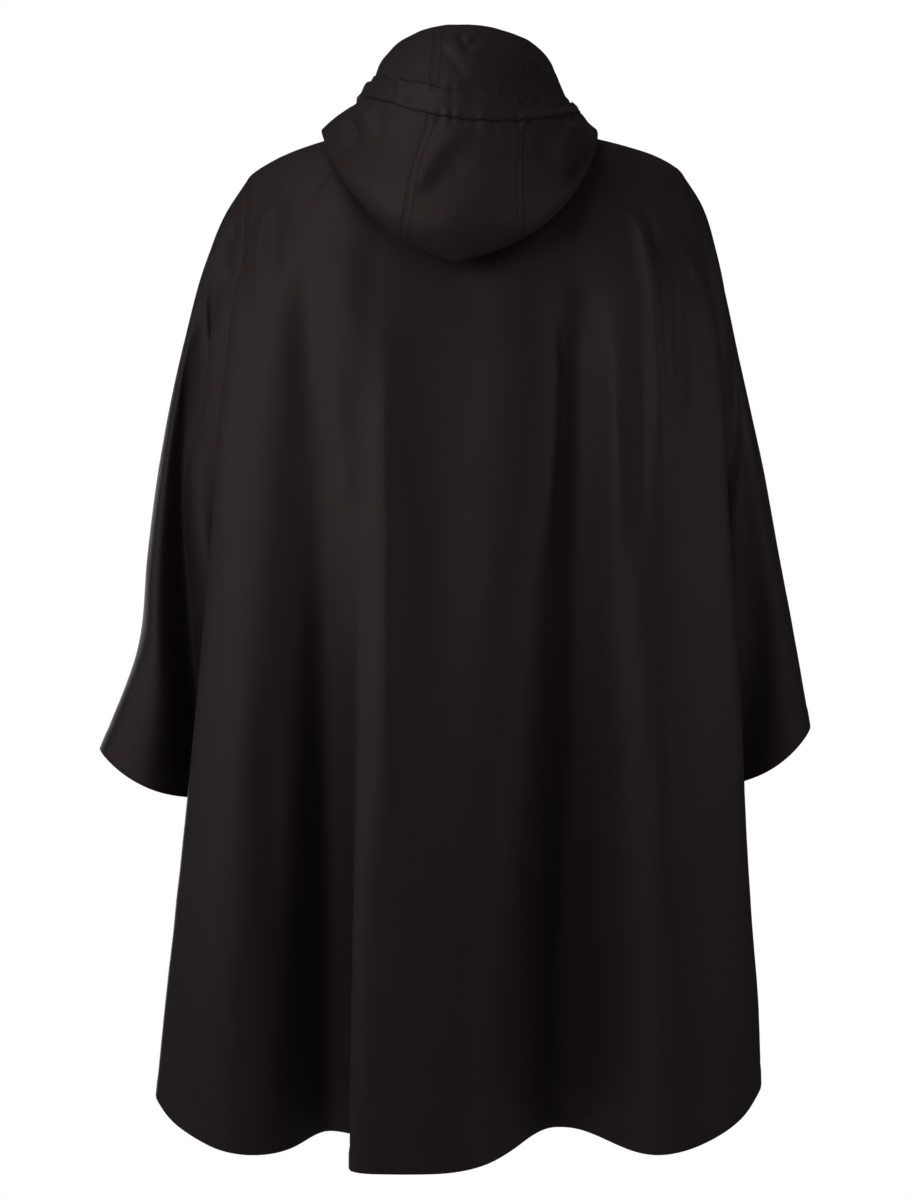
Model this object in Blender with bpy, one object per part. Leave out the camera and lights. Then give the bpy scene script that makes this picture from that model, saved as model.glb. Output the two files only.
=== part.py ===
"""Hooded rain poncho with wing sleeves, as the cut pieces of cloth that a maker would sew together.

Every piece is a thin closed wall on a grid of points. The grids come from short tables, in millimetres:
a row for each level of the body, each station along a sleeve, each ring of the hood and each large fold.
The frame: +Z up, the wearer faces -Y, +X is the wearer's left. The origin lies at the base of the neck.
"""

import math

import bmesh
import bpy
import numpy as np

MM = 0.001

# ---------------------------------------------------------------- driving dimensions, in millimetres
WALL = 2.0  # wall of the cloth
SEAM_GAP = 0.3  # between two pieces at a seam
CHANNEL_WALL = 1.5
NECK_HALF = 105.0  # half the width of the neck opening
NECK_BACK, NECK_FRONT = 86.0, -98.0  # where the neck seam crosses the centre line
SHOULDER_CROWN = 9.0  # how far each shoulder seam bows up over the shoulder
SHOULDER_Y = -5.0  # the shoulder seams and side seams lie near the middle of the depth

# How many cells each stretch of a piece is divided into
SHOULDER_CELLS, NECK_CELLS = 8, 18
YOKE_CELLS, ARMHOLE_CELLS, SIDE_CELLS = 4, 10, 12
LOBE_CELLS = 4  # from a side or armhole seam to the lobe beside it
SLEEVE_CELLS = 14
HOOD_CENTER_CELLS, HOOD_SIDE_CELLS = 6, 15
HOOD_CELLS_PER_RING = 2
SECTION_SAMPLES = 401  # points on the fine curve from which each level's columns are read

CLOTH_COLOUR = (0.0125, 0.0105, 0.0110, 1.0)
CLOTH_ROUGHNESS = 0.55

# ---------------------------------------------------------------- body tables, in millimetres
# Where each shoulder seam ends and the sleeve begins.
SHOULDER_POINT = {"left": (224.0, -25.0), "right": (-239.0, -19.0)}

# The armhole under the yoke, down to the point where the underarm meets the side seam.
ARMHOLE_COLUMNS = ("z", "x", "y")
ARMHOLE = {
    "left": (
        (-190.0, 230.0, 74.0),
        (-250.0, 239.0, 78.0),
        (-320.0, 233.0, 66.0),
        (-390.0, 219.0, 38.0),
        (-450.0, 204.0, 0.0),
    ),
    "right": (
        (-190.0, -267.0, 72.0),
        (-250.0, -271.0, 78.0),
        (-320.0, -262.0, 68.0),
        (-390.0, -243.0, 40.0),
        (-450.0, -222.0, 0.0),
    ),
}

# The side seam from there to the hem.
SIDE_COLUMNS = ("z", "x")
SIDE_SEAM = {
    "left": ((-450.0, 204.0), (-560.0, 208.0), (-690.0, 220.0), (-850.0, 238.0), (-985.0, 255.0)),
    "right": ((-450.0, -222.0), (-560.0, -226.0), (-690.0, -233.0), (-850.0, -243.0), (-975.0, -252.0)),
}

# The corner lobes of the body, where the cloth falls in front of and behind each sleeve.
LOBE_COLUMNS = ("z", "left_x", "right_x", "back_y", "front_y")
LOBES = (
    (-190.0, 236.0, -268.0, 94.0, -92.0),
    (-260.0, 241.0, -273.0, 104.0, -100.0),
    (-370.0, 249.0, -279.0, 110.0, -105.0),
    (-450.0, 255.0, -284.0, 112.0, -106.0),
    (-560.0, 266.0, -291.0, 114.0, -108.0),
    (-690.0, 281.0, -297.0, 114.0, -110.0),
    (-850.0, 299.0, -304.0, 112.0, -110.0),
    (-1000.0, 313.0, -310.0, 110.0, -110.0),
)

# How far the body stands out behind and in front at its centre line.
DEPTH_COLUMNS = ("z", "back_y", "front_y")
DEPTHS = (
    (-175.0, 148.0, -138.0),
    (-300.0, 157.0, -150.0),
    (-450.0, 164.0, -158.0),
    (-650.0, 172.0, -165.0),
    (-850.0, 178.0, -172.0),
    (-1050.0, 184.0, -178.0),
)

# From a seam to the lobe the cloth first runs nearly straight back: shares of the way in X and in Y.
BEND = (0.0, 0.5)
# From the lobe to the centre line: share of the lobe's X, and of the way from its Y to the full depth.
ROUNDING = ((1.0, 0.0), (0.88, 0.52), (0.66, 0.86), (0.34, 0.985), (0.0, 1.0))

# The centre line of a panel: its height under the yoke, level with the underarm, and at the hem. The
# middle one is reached at this share of the rows.
YOKE_Z, UNDERARM_Z, UNDERARM_AT = -175.0, -450.0, 0.32
HEM_Z = {"back": -1032.0, "front": -1012.0}
HEM_SIDE_Z = {"left": -962.0, "right": -955.0}
HEM_RISE_SHARE = 0.3  # share of the hem, at each end, over which it rises to the side seam
HEM_FOLLOWS_FOLDS = 0.40  # a fold that stands out hangs this much lower
HEM_FOLLOWS_FROM, HEM_FOLLOWS_OVER = -500.0, 500.0  # and does so below this height, over this length

# The direction in which the cloth leaves the shoulder seam and the neckline, outward and down, and the
# share of the shoulder's columns past which the second takes over from the first.
SHOULDER_LEAVES, NECK_LEAVES = (1.0, -0.18), (0.62, -0.78)
LEAVES_CHANGE_AT, LEAVES_CHANGE_OVER = 0.8, 0.9

FOLD_BEGINS_OVER = 120.0  # each fold fades in over this height, round the height where it starts
FOLDS_STOP_AT = 0.16  # the folds die out over this share of the panel beside each seam

# The large folds that hang from the shoulders. x and z place the middle line; "toward_left" and
# "toward_right" are the half widths; "out" is how far the cloth stands out (or in) at the lower end.
FOLD_COLUMNS = (
    "name", "start_z", "full_z", "start_x", "middle_x", "end_x",
    "start_width", "toward_left", "toward_right", "start_out", "out",
)
FOLDS = {
    "back": (
        ("left_lobe_swell", -250.0, -900.0, 215.0, 215.0, 215.0, 40.0, 60.0, 46.0, 2.0, 12.0),
        ("left_valley", -330.0, -1000.0, 156.0, 147.0, 142.0, 22.0, 40.0, 32.0, 0.0, -38.0),
        ("middle_swell", -110.0, -1000.0, 84.0, 84.0, 82.0, 26.0, 20.0, 72.0, 5.0, 26.0),
        ("centre_swell", -500.0, -1000.0, 20.0, 16.0, 12.0, 60.0, 70.0, 60.0, 0.0, 14.0),
        ("right_valley", -180.0, -1000.0, -124.0, -114.0, -108.0, 34.0, 66.0, 66.0, -6.0, -40.0),
        ("right_crest", -150.0, -1000.0, -197.0, -196.0, -192.0, 30.0, 38.0, 50.0, 5.0, 15.0),
    ),
    "front": (
        ("left_crest", -160.0, -1000.0, 190.0, 196.0, 205.0, 34.0, 50.0, 44.0, -3.0, 14.0),
        ("left_valley", -260.0, -1000.0, 118.0, 124.0, 132.0, 30.0, 46.0, 44.0, 0.0, -34.0),
        ("middle_swell", -240.0, -1000.0, 20.0, 22.0, 26.0, 50.0, 66.0, 60.0, 0.0, 24.0),
        ("right_valley", -300.0, -1000.0, -82.0, -84.0, -88.0, 30.0, 40.0, 48.0, 0.0, -32.0),
        ("right_crest", -160.0, -1000.0, -178.0, -186.0, -198.0, 34.0, 44.0, 50.0, -3.0, 14.0),
    ),
}

# ---------------------------------------------------------------- sleeve tables, in millimetres
# Stations from the armhole to the cuff. The ridge is the line over the arm, the under line the one below
# it; back and front are how far the sleeve stands out to each side; groove is a long fold in its back.
# "bow" is how far its sides belly out of the straight plane through the ridge and the under line.
SLEEVE_COLUMNS = (
    "ridge_x", "ridge_z", "ridge_y", "under_x", "under_z", "under_y", "back", "front", "groove", "bow",
)
SLEEVES = {
    "left": (
        (262.0, -100.0, -6.0, 216.0, -478.0, 0.0, 60.0, -62.0, 6.0, 36.0),
        (292.0, -207.0, -8.0, 224.0, -520.0, -2.0, 66.0, -67.0, 14.0, 28.0),
        (314.0, -313.0, -9.0, 229.0, -562.0, -3.0, 69.0, -70.0, 20.0, 20.0),
        (329.0, -420.0, -10.0, 235.0, -605.0, -4.0, 66.0, -68.0, 22.0, 16.0),
        (339.0, -520.0, -11.0, 240.0, -646.0, -5.0, 64.0, -66.0, 20.0, 14.0),
        (381.0, -630.0, -12.0, 245.0, -684.0, -6.0, 66.0, -68.0, 12.0, 16.0),
    ),
    "right": (
        (-273.0, -100.0, -6.0, -234.0, -478.0, 0.0, 60.0, -62.0, 6.0, 34.0),
        (-296.0, -207.0, -8.0, -240.0, -518.0, -2.0, 66.0, -67.0, 12.0, 26.0),
        (-320.0, -313.0, -9.0, -244.0, -556.0, -3.0, 69.0, -70.0, 16.0, 18.0),
        (-341.0, -420.0, -10.0, -249.0, -596.0, -4.0, 66.0, -68.0, 18.0, 16.0),
        (-360.0, -520.0, -11.0, -254.0, -636.0, -5.0, 64.0, -66.0, 18.0, 14.0),
        (-375.0, -606.0, -12.0, -258.0, -672.0, -6.0, 62.0, -66.0, 12.0, 16.0),
    ),
}
GROOVE_AT, GROOVE_WIDTH = 0.27, 0.085  # share of the way round, from the underarm
SLEEVE_POINTED, SLEEVE_POINTED_UNDER = 1.05, 0.3  # over 1 makes the ridge and the under line sharper

# ---------------------------------------------------------------- hood table, in millimetres
# Rings from the neck seam, over the roll, down inside the pouch, round its fold and up to the free edge.
# "wide" is half the width at the sides, where the ring lies at side_y and side_z.
HOOD_COLUMNS = (
    "name", "back_y", "back_z", "left_wide", "right_wide", "side_y", "side_z", "throat_y", "throat_z",
    "last_angle", "left_seam", "right_seam", "peak",
)
HOOD = (
    (
        "neck seam", NECK_BACK, 12.0, NECK_HALF, NECK_HALF, SHOULDER_Y, 28.0, NECK_FRONT, -45.0,
        180.0, 30.0, -30.0, 2.0,
    ),
    ("stand", 90.0, 30.0, 107.0, 107.0, -5.0, 41.0, -99.5, -41.0, 179.0, 30.0, -30.0, 2.0),
    ("roll", 103.0, 32.0, 114.0, 115.0, 0.0, 44.0, -101.0, -37.5, 178.5, 30.0, -29.0, 2.0),
    ("inner middle", 130.0, -22.0, 123.0, 127.0, 8.0, 38.0, -102.5, -34.0, 178.0, 29.0, -27.0, 2.0),
    ("inner low", 156.0, -98.0, 131.0, 136.0, 18.0, 31.0, -104.0, -30.5, 177.0, 27.0, -23.0, 2.0),
    ("fold", 180.0, -131.0, 138.0, 144.0, 25.0, 27.0, -105.5, -27.0, 176.5, 24.0, -21.0, 1.9),
    ("outer low", 199.0, -104.0, 141.0, 147.0, 24.0, 32.0, -106.5, -24.0, 176.0, 22.0, -25.0, 1.9),
    ("outer middle", 196.0, -44.0, 129.0, 136.0, 14.0, 41.0, -107.5, -21.0, 175.5, 20.5, -27.0, 2.0),
    ("channel low", 176.0, 14.0, 115.0, 122.0, 3.0, 51.0, -108.0, -18.0, 175.0, 16.5, -31.0, 2.0),
    ("channel high", 158.0, 44.0, 107.0, 113.0, -4.0, 62.0, -108.5, -15.5, 174.5, 16.0, -33.0, 2.0),
    ("brim", 118.0, 92.0, 101.0, 107.0, -10.0, 69.0, -109.0, -13.0, 174.0, 15.5, -36.0, 1.6),
    ("free edge", 78.0, 125.0, 97.0, 104.0, -16.0, 75.0, -109.0, -10.0, 173.0, 15.5, -39.0, 1.3),
)
CHANNEL_RINGS = (8, 9)  # the casing lies between these two rings
CHANNEL_END_ANGLE = 95.0
FRONT_PEAK = 2.8  # in front the rings stay high over the shoulders and drop late to the throat


def column(rows, names, name):
    """One named column of a table, as an array."""
    at = names.index(name)
    return np.array([row[at] for row in rows])


def smooth_step(value):
    """0 to 1 with a soft start and a soft end."""
    value = np.clip(value, 0.0, 1.0)
    return value * value * (3.0 - 2.0 * value)


def flow(knots, values, places):
    """A smooth curve through the values, one for each knot, read at the given places."""
    knots = np.asarray(knots, float)
    values = np.asarray(values, float)
    places = np.atleast_1d(np.asarray(places, float))
    if knots[0] > knots[-1]:
        knots, values = knots[::-1], values[::-1]
    slopes = np.gradient(values, knots, axis=0)
    start = np.clip(np.searchsorted(knots, places, side="right") - 1, 0, len(knots) - 2)
    span = knots[start + 1] - knots[start]
    share = np.clip((places - knots[start]) / span, 0.0, 1.0)
    shape = (-1,) + (1,) * (values.ndim - 1)
    share, span = share.reshape(shape), span.reshape(shape)
    square, cube = share**2, share**3
    return (
        (2.0 * cube - 3.0 * square + 1.0) * values[start]
        + (cube - 2.0 * square + share) * span * slopes[start]
        + (3.0 * square - 2.0 * cube) * values[start + 1]
        + (cube - square) * span * slopes[start + 1]
    )


def along(points):
    """The distance along a line of points, from 0 to 1."""
    steps = np.linalg.norm(np.diff(points, axis=0), axis=1)
    travelled = np.concatenate(([0.0], np.cumsum(steps)))
    return travelled / travelled[-1]


def grid_normals(grid):
    """The direction across the cloth at each point of a grid."""
    down = np.gradient(grid, axis=0)
    across = np.gradient(grid, axis=1)
    normal = np.cross(across, down)
    return normal / np.linalg.norm(normal, axis=2, keepdims=True)


# ---------------------------------------------------------------- neck and hood rings
def hood_ring(place, angles):
    """Points of a hood ring. Angle 0 is the back centre, 90 the wearer's left, -90 the right."""
    rings = np.arange(len(HOOD))
    size = {
        name: float(flow(rings, column(HOOD, HOOD_COLUMNS, name), place)[0])
        for name in HOOD_COLUMNS
        if name != "name"
    }
    cosine, sine = np.cos(np.radians(angles)), np.sin(np.radians(angles))
    behind = cosine >= 0.0
    wide = np.where(sine >= 0.0, size["left_wide"], size["right_wide"])
    reach = np.where(behind, size["back_y"] - size["side_y"], size["side_y"] - size["throat_y"])
    rise = np.where(behind, size["back_z"] - size["side_z"], size["throat_z"] - size["side_z"])
    return np.stack(
        (
            wide * sine,
            size["side_y"] + reach * cosine,
            size["side_z"] + rise * np.abs(cosine) ** np.where(behind, size["peak"], FRONT_PEAK),
        ),
        axis=1,
    )


def hood_angles(place, piece):
    """The angles at which one hood piece has its columns, at a place between rings."""
    rings = np.arange(len(HOOD))
    last, left, right = (
        float(flow(rings, column(HOOD, HOOD_COLUMNS, name), place)[0])
        for name in ("last_angle", "left_seam", "right_seam")
    )
    spans = {
        "left": (left, last, HOOD_SIDE_CELLS),
        "center": (right, left, HOOD_CENTER_CELLS),
        "right": (-last, right, HOOD_SIDE_CELLS),
    }
    first, final, cells = spans[piece]
    return np.linspace(first, final, cells + 1)


def hood_grid(piece, places):
    """The points of one hood piece, a row for each place between rings."""
    return np.stack([hood_ring(place, hood_angles(place, piece)) for place in places])


# ---------------------------------------------------------------- body panels
def top_edge(face):
    """The shoulder seams and the neckline between them, from the wearer's left to the right."""
    neck_angles = np.linspace(90.0, -90.0, NECK_CELLS + 1)
    if face == "front":
        neck_angles = np.linspace(90.0, 270.0, NECK_CELLS + 1)
    neckline = hood_ring(0.0, neck_angles)
    shoulders = {}
    for side, end in (("left", neckline[0]), ("right", neckline[-1])):
        x, z = SHOULDER_POINT[side]
        share = np.linspace(0.0, 1.0, SHOULDER_CELLS + 1)[:, None]
        line = (1.0 - share) * np.array((x, SHOULDER_Y, z)) + share * end
        line[:, 2] += SHOULDER_CROWN * np.sin(math.pi * share[:, 0])
        shoulders[side] = line
    return np.concatenate((shoulders["left"][:-1], neckline, shoulders["right"][::-1][1:]))


def side_edge(side, face):
    """The armhole below the yoke and the side seam, a point for each row."""
    sign = 1.0 if face == "back" else -1.0
    z, x, y = (column(ARMHOLE[side], ARMHOLE_COLUMNS, name) for name in ARMHOLE_COLUMNS)
    armhole_z = np.linspace(z[0], z[-1], ARMHOLE_CELLS - YOKE_CELLS + 1)
    upper = np.stack((flow(z, x, armhole_z), sign * flow(z, y, armhole_z), armhole_z), axis=1)
    z, x = (column(SIDE_SEAM[side], SIDE_COLUMNS, name) for name in SIDE_COLUMNS)
    seam_z = np.linspace(z[0], HEM_SIDE_Z[side], SIDE_CELLS + 1)
    lower = np.stack((flow(z, x, seam_z), np.zeros_like(seam_z), seam_z), axis=1)
    return np.concatenate((upper, lower[1:]))


def section(left, right, center_z, face, cells):
    """One level of a body panel, from one edge round both lobes to the other."""
    depths = column(DEPTHS, DEPTH_COLUMNS, face + "_y")
    depth = float(flow(column(DEPTHS, DEPTH_COLUMNS, "z"), depths, center_z)[0])
    halves = {}
    for side, edge in (("left", left), ("right", right)):
        level = column(LOBES, LOBE_COLUMNS, "z")
        lobe_x = float(flow(level, column(LOBES, LOBE_COLUMNS, side + "_x"), edge[2])[0])
        lobe_y = float(flow(level, column(LOBES, LOBE_COLUMNS, face + "_y"), edge[2])[0])
        start = np.array((edge[0], edge[1]))
        bend = np.array((edge[0] + BEND[0] * (lobe_x - edge[0]), edge[1] + BEND[1] * (lobe_y - edge[1])))
        turn = [(share * lobe_x, lobe_y + way * (depth - lobe_y)) for share, way in ROUNDING]
        halves[side] = np.concatenate(([start, bend], turn))
    corners = np.concatenate((halves["left"], halves["right"][::-1][1:]))
    fine = flow(along(corners), corners, np.linspace(0.0, 1.0, SECTION_SAMPLES))
    travelled = along(fine)
    crests = [travelled[np.argmax(fine[:, 0])], travelled[np.argmin(fine[:, 0])]]
    stops = (0.0, LOBE_CELLS, cells - LOBE_CELLS, cells)
    share = np.interp(np.arange(cells + 1), stops, (0.0, *crests, 1.0))
    x = np.interp(share, travelled, fine[:, 0])
    y = np.interp(share, travelled, fine[:, 1])
    inward = smooth_step(np.minimum(share, 1.0 - share) / HEM_RISE_SHARE)
    edge_z = left[2] + (right[2] - left[2]) * share
    return np.stack((x, y, edge_z + (center_z - edge_z) * inward), axis=1)


def fold_offset(face, x, z):
    """How far the large folds push the cloth out at each point."""
    total = np.zeros_like(x)
    for row in FOLDS[face]:
        fold = dict(zip(FOLD_COLUMNS, row))
        growth = smooth_step((fold["start_z"] - z) / (fold["start_z"] - fold["full_z"]))
        begin = smooth_step(0.5 + (fold["start_z"] - z) / FOLD_BEGINS_OVER)
        halfway = 0.5 * (fold["start_z"] + fold["full_z"])
        depths = (-fold["start_z"], -halfway, -fold["full_z"])
        middle = np.interp(-z, depths, (fold["start_x"], fold["middle_x"], fold["end_x"]))
        wide = np.where(x > middle, fold["toward_left"], fold["toward_right"])
        width = fold["start_width"] + (wide - fold["start_width"]) * growth
        out = fold["start_out"] + (fold["out"] - fold["start_out"]) * growth
        total += begin * out * np.exp(-(((x - middle) / width) ** 2))
    return total


def body_panel(face):
    """The points of the back or the front, rows from the shoulders to the hem."""
    cells = 2 * SHOULDER_CELLS + NECK_CELLS
    rows = ARMHOLE_CELLS + SIDE_CELLS
    sign = 1.0 if face == "back" else -1.0
    top = top_edge(face)
    left, right = side_edge("left", face), side_edge("right", face)
    under = rows - YOKE_CELLS
    down = np.linspace(0.0, 1.0, under + 1)
    center_z = flow((0.0, UNDERARM_AT, 1.0), (YOKE_Z, UNDERARM_Z, HEM_Z[face]), down)
    hanging = np.stack(
        [section(left[row], right[row], center_z[row], face, cells) for row in range(under + 1)]
    )
    # The yoke: each column leaves the shoulder seam or neckline and comes round into the hanging cloth.
    chest = hanging[0]
    reach = np.linalg.norm(chest - top, axis=1, keepdims=True)
    hang = hanging[1] - hanging[0]
    hang /= np.linalg.norm(hang, axis=1, keepdims=True)
    over = np.minimum(np.arange(cells + 1), np.arange(cells, -1, -1)) / SHOULDER_CELLS
    steep = smooth_step((over - LEAVES_CHANGE_AT) / LEAVES_CHANGE_OVER)[:, None]
    leave = (1.0 - steep) * np.array(SHOULDER_LEAVES) + steep * np.array(NECK_LEAVES)
    leave /= np.linalg.norm(leave, axis=1, keepdims=True)
    leave = np.stack((np.zeros(cells + 1), sign * leave[:, 0], leave[:, 1]), axis=1)
    yoke = []
    for row in range(YOKE_CELLS):
        share = row / YOKE_CELLS
        square, cube = share**2, share**3
        yoke.append(
            (2.0 * cube - 3.0 * square + 1.0) * top
            + (cube - 2.0 * square + share) * reach * leave
            + (3.0 * square - 2.0 * cube) * chest
            + (cube - square) * reach * hang
        )
    grid = np.concatenate((np.stack(yoke), hanging))
    normals = grid_normals(grid)
    normals *= np.sign(normals[rows // 2, cells // 2, 1]) * sign
    # The folds die out at the seams, so that each edge keeps its line.
    share = np.linspace(0.0, 1.0, cells + 1)
    inside = smooth_step(np.minimum(share, 1.0 - share) / FOLDS_STOP_AT)[None, :]
    offset = fold_offset(face, grid[:, :, 0], grid[:, :, 2]) * inside
    grid += normals * offset[:, :, None]
    low = smooth_step((HEM_FOLLOWS_FROM - grid[:, :, 2]) / HEM_FOLLOWS_OVER)
    grid[:, :, 2] -= HEM_FOLLOWS_FOLDS * offset * low
    return grid


# ---------------------------------------------------------------- sleeves
def sleeve_ring(station, turns):
    """One station of a sleeve. Turn 0 is the underarm, 0.5 the ridge, and between them lies the back."""
    size = dict(zip(SLEEVE_COLUMNS, station))
    ridge = np.array((size["ridge_x"], size["ridge_y"], size["ridge_z"]))
    under = np.array((size["under_x"], size["under_y"], size["under_z"]))
    cosine, sine = np.cos(2.0 * math.pi * turns), np.sin(2.0 * math.pi * turns)
    half = 0.5 * (under - ridge)
    points = 0.5 * (ridge + under) + cosine[:, None] * half
    pointed = SLEEVE_POINTED + SLEEVE_POINTED_UNDER * cosine
    out = np.where(sine >= 0.0, size["back"], -size["front"])
    points[:, 1] += np.sign(sine) * out * np.abs(sine) ** pointed
    across = ridge - under
    belly = np.array((across[2], 0.0, -across[0])) * np.sign(ridge[0]) / np.hypot(across[0], across[2])
    points += (size["bow"] * sine**2)[:, None] * belly
    groove = np.exp(-(((turns - GROOVE_AT) / GROOVE_WIDTH) ** 2))
    points[:, 1] -= size["groove"] * groove
    return points


def sleeve_grid(side, back, front):
    """The points of a sleeve, from the armhole edges of the two body panels to the cuff."""
    edge = 0 if side == "left" else -1
    behind = back[: ARMHOLE_CELLS + 1, edge][::-1]
    before = front[: ARMHOLE_CELLS + 1, edge]
    armhole = np.concatenate((behind, before[1:]))
    turns = np.linspace(0.0, 1.0, 2 * ARMHOLE_CELLS + 1)
    rings = [armhole] + [sleeve_ring(station, turns) for station in SLEEVES[side]]
    knots = along(np.array([ring[ARMHOLE_CELLS] for ring in rings]))
    return flow(knots, np.stack(rings), np.linspace(0.0, 1.0, SLEEVE_CELLS + 1))


# ---------------------------------------------------------------- walls and objects
def place_key(point):
    """A point of a seam, rounded so that both pieces find it."""
    return tuple(np.round(point, 2))


def share_normals(pieces):
    """Give pieces that meet at a seam one wall direction there, so that their edges lie side by side."""
    sums = {}
    for grid, normals in pieces:
        for point, normal in zip(grid.reshape(-1, 3), normals.reshape(-1, 3)):
            key = place_key(point)
            sums[key] = sums.get(key, 0.0) + normal
    for grid, normals in pieces:
        rows, columns = grid.shape[:2]
        for row in range(rows):
            for place in range(columns):
                total = sums[place_key(grid[row, place])]
                normals[row, place] = total / np.linalg.norm(total)


def line_directions(line):
    """The direction of a line at each of its points, round the end if it is closed."""
    direction = np.gradient(line, axis=0)
    if np.allclose(line[0], line[-1]):
        direction[0] = direction[-1] = line[1] - line[-2]
    return direction / np.linalg.norm(direction, axis=1, keepdims=True)


def pull_back(grid, edges):
    """Move the named edges of a grid inward, square to each seam, by half the seam gap."""
    lines = {
        "top": ((0, slice(None)), (1, slice(None))),
        "bottom": ((-1, slice(None)), (-2, slice(None))),
        "first": ((slice(None), 0), (slice(None), 1)),
        "last": ((slice(None), -1), (slice(None), -2)),
    }
    moved = grid.copy()
    for edge in edges:
        line, inner = lines[edge]
        way = grid[inner] - grid[line]
        direction = line_directions(grid[line])
        way -= np.sum(way * direction, axis=1, keepdims=True) * direction
        moved[line] += 0.5 * SEAM_GAP * way / np.linalg.norm(way, axis=1, keepdims=True)
    return moved


def end_faces(vertices, line, layers):
    """The faces that close a wall along one edge.

    The end of a wall twists along its seam, so each cell of it is split on the same diagonal as its
    neighbour's across the seam: from the outer corner that lies higher to the inner one that lies lower.
    """
    faces = []
    for near, far in zip(line[:-1], line[1:]):
        if vertices[near][2] < vertices[far][2]:
            near, far = far, near
        faces.append((near, far, far + layers))
        faces.append((near, far + layers, near + layers))
    return faces


def wall_object(name, grid, normals, collection, thickness=WALL, closed=False):
    """A closed wall of cloth round a grid of points."""
    if closed:
        grid, normals = grid[:, :-1], normals[:, :-1]
    rows, columns = grid.shape[:2]
    outer = grid + 0.5 * thickness * normals
    inner = grid - 0.5 * thickness * normals
    vertices = np.concatenate((outer.reshape(-1, 3), inner.reshape(-1, 3))) * MM
    layer = rows * columns
    numbers = np.arange(layer).reshape(rows, columns)
    if closed:
        numbers = np.concatenate((numbers, numbers[:, :1]), axis=1)
    faces = []
    for upper, lower in zip(numbers[:-1], numbers[1:]):
        for a, b, c, d in zip(upper[:-1], upper[1:], lower[1:], lower[:-1]):
            faces.append((a, b, c, d))
            faces.append((a + layer, d + layer, c + layer, b + layer))
    faces += end_faces(vertices, numbers[0], layer) + end_faces(vertices, numbers[-1], layer)
    if not closed:
        faces += end_faces(vertices, numbers[:, 0], layer) + end_faces(vertices, numbers[:, -1], layer)
    mesh = bpy.data.meshes.new(name)
    mesh.from_pydata(vertices.tolist(), [], [[int(corner) for corner in face] for face in faces])
    shape = bmesh.new()
    shape.from_mesh(mesh)
    bmesh.ops.recalc_face_normals(shape, faces=shape.faces)
    shape.to_mesh(mesh)
    shape.free()
    mesh.shade_smooth()
    mesh.set_sharp_from_angle(angle=math.radians(50.0))
    mesh.materials.append(cloth_material(name))
    piece = bpy.data.objects.new(name, mesh)
    collection.objects.link(piece)
    return piece


def cloth_material(name):
    """Near-black coated cloth."""
    material = bpy.data.materials.new(name + "_cloth")
    material.use_nodes = True
    shader = material.node_tree.nodes["Principled BSDF"]
    shader.inputs["Base Color"].default_value = CLOTH_COLOUR
    shader.inputs["Roughness"].default_value = CLOTH_ROUGHNESS
    shader.inputs["Metallic"].default_value = 0.0
    return material


def neck_directions(grid):
    """Level directions straight out from the neck, for the pieces that meet at its seam."""
    out = grid * np.array((1.0 / NECK_HALF**2, 1.0 / (0.5 * (NECK_BACK - NECK_FRONT)) ** 2, 0.0))
    return out / np.linalg.norm(out, axis=1, keepdims=True)


def build_body(collection):
    """Back, front and both sleeves, which share their seams."""
    grids = {"back_panel": body_panel("back"), "front_panel": body_panel("front")}
    for side in ("left", "right"):
        grids["sleeve_" + side] = sleeve_grid(side, grids["back_panel"], grids["front_panel"])
    normals = {name: grid_normals(grid) for name, grid in grids.items()}
    outward = {
        "back_panel": (0.0, 1.0, 0.0),
        "front_panel": (0.0, -1.0, 0.0),
        "sleeve_left": (1.0, 0.0, 0.0),
        "sleeve_right": (-1.0, 0.0, 0.0),
    }
    for name, direction in outward.items():
        rows, columns = grids[name].shape[:2]
        middle = normals[name][rows // 2, columns // 2]
        normals[name] *= np.sign(middle @ np.array(direction))
    for side in ("left", "right"):
        joined = normals["sleeve_" + side]
        joined[:, 0] = joined[:, -1] = joined[:, 0] + joined[:, -1]
        joined[:, 0] /= np.linalg.norm(joined[:, 0], axis=1, keepdims=True)
        joined[:, -1] = joined[:, 0]
    share_normals([(grids[name], normals[name]) for name in grids])
    for name in ("back_panel", "front_panel"):
        neckline = slice(SHOULDER_CELLS, SHOULDER_CELLS + NECK_CELLS + 1)
        normals[name][0, neckline] = neck_directions(grids[name][0, neckline])
        moved = pull_back(grids[name], ("top", "first", "last"))
        wall_object(name, moved, normals[name], collection)
    for side in ("left", "right"):
        name = "sleeve_" + side
        wall_object(name, pull_back(grids[name], ("top",)), normals[name], collection, closed=True)


def build_hood(collection):
    """The three hood pieces and the casing sewn across them."""
    places = np.linspace(0.0, len(HOOD) - 1.0, HOOD_CELLS_PER_RING * (len(HOOD) - 1) + 1)
    grids = {piece: hood_grid(piece, places) for piece in ("left", "center", "right")}
    normals = {piece: grid_normals(grid) for piece, grid in grids.items()}
    for piece in normals:
        middle = normals[piece][HOOD_CELLS_PER_RING * 8, normals[piece].shape[1] // 2]
        normals[piece] *= np.sign(middle[1] if piece == "center" else middle[2])
    share_normals([(grids[piece], normals[piece]) for piece in grids])
    seams = {"left": ("top", "first"), "center": ("top", "first", "last"), "right": ("top", "last")}
    for piece, edges in seams.items():
        normals[piece][0] = neck_directions(grids[piece][0])
        moved = pull_back(grids[piece], edges)
        if piece != "center":
            throat = -1 if piece == "left" else 0
            moved[0, throat, 0] += 0.5 * SEAM_GAP * (1.0 if piece == "left" else -1.0)
        wall_object("hood_" + piece, moved, normals[piece], collection)
    build_channel(grids, normals, collection)


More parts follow.
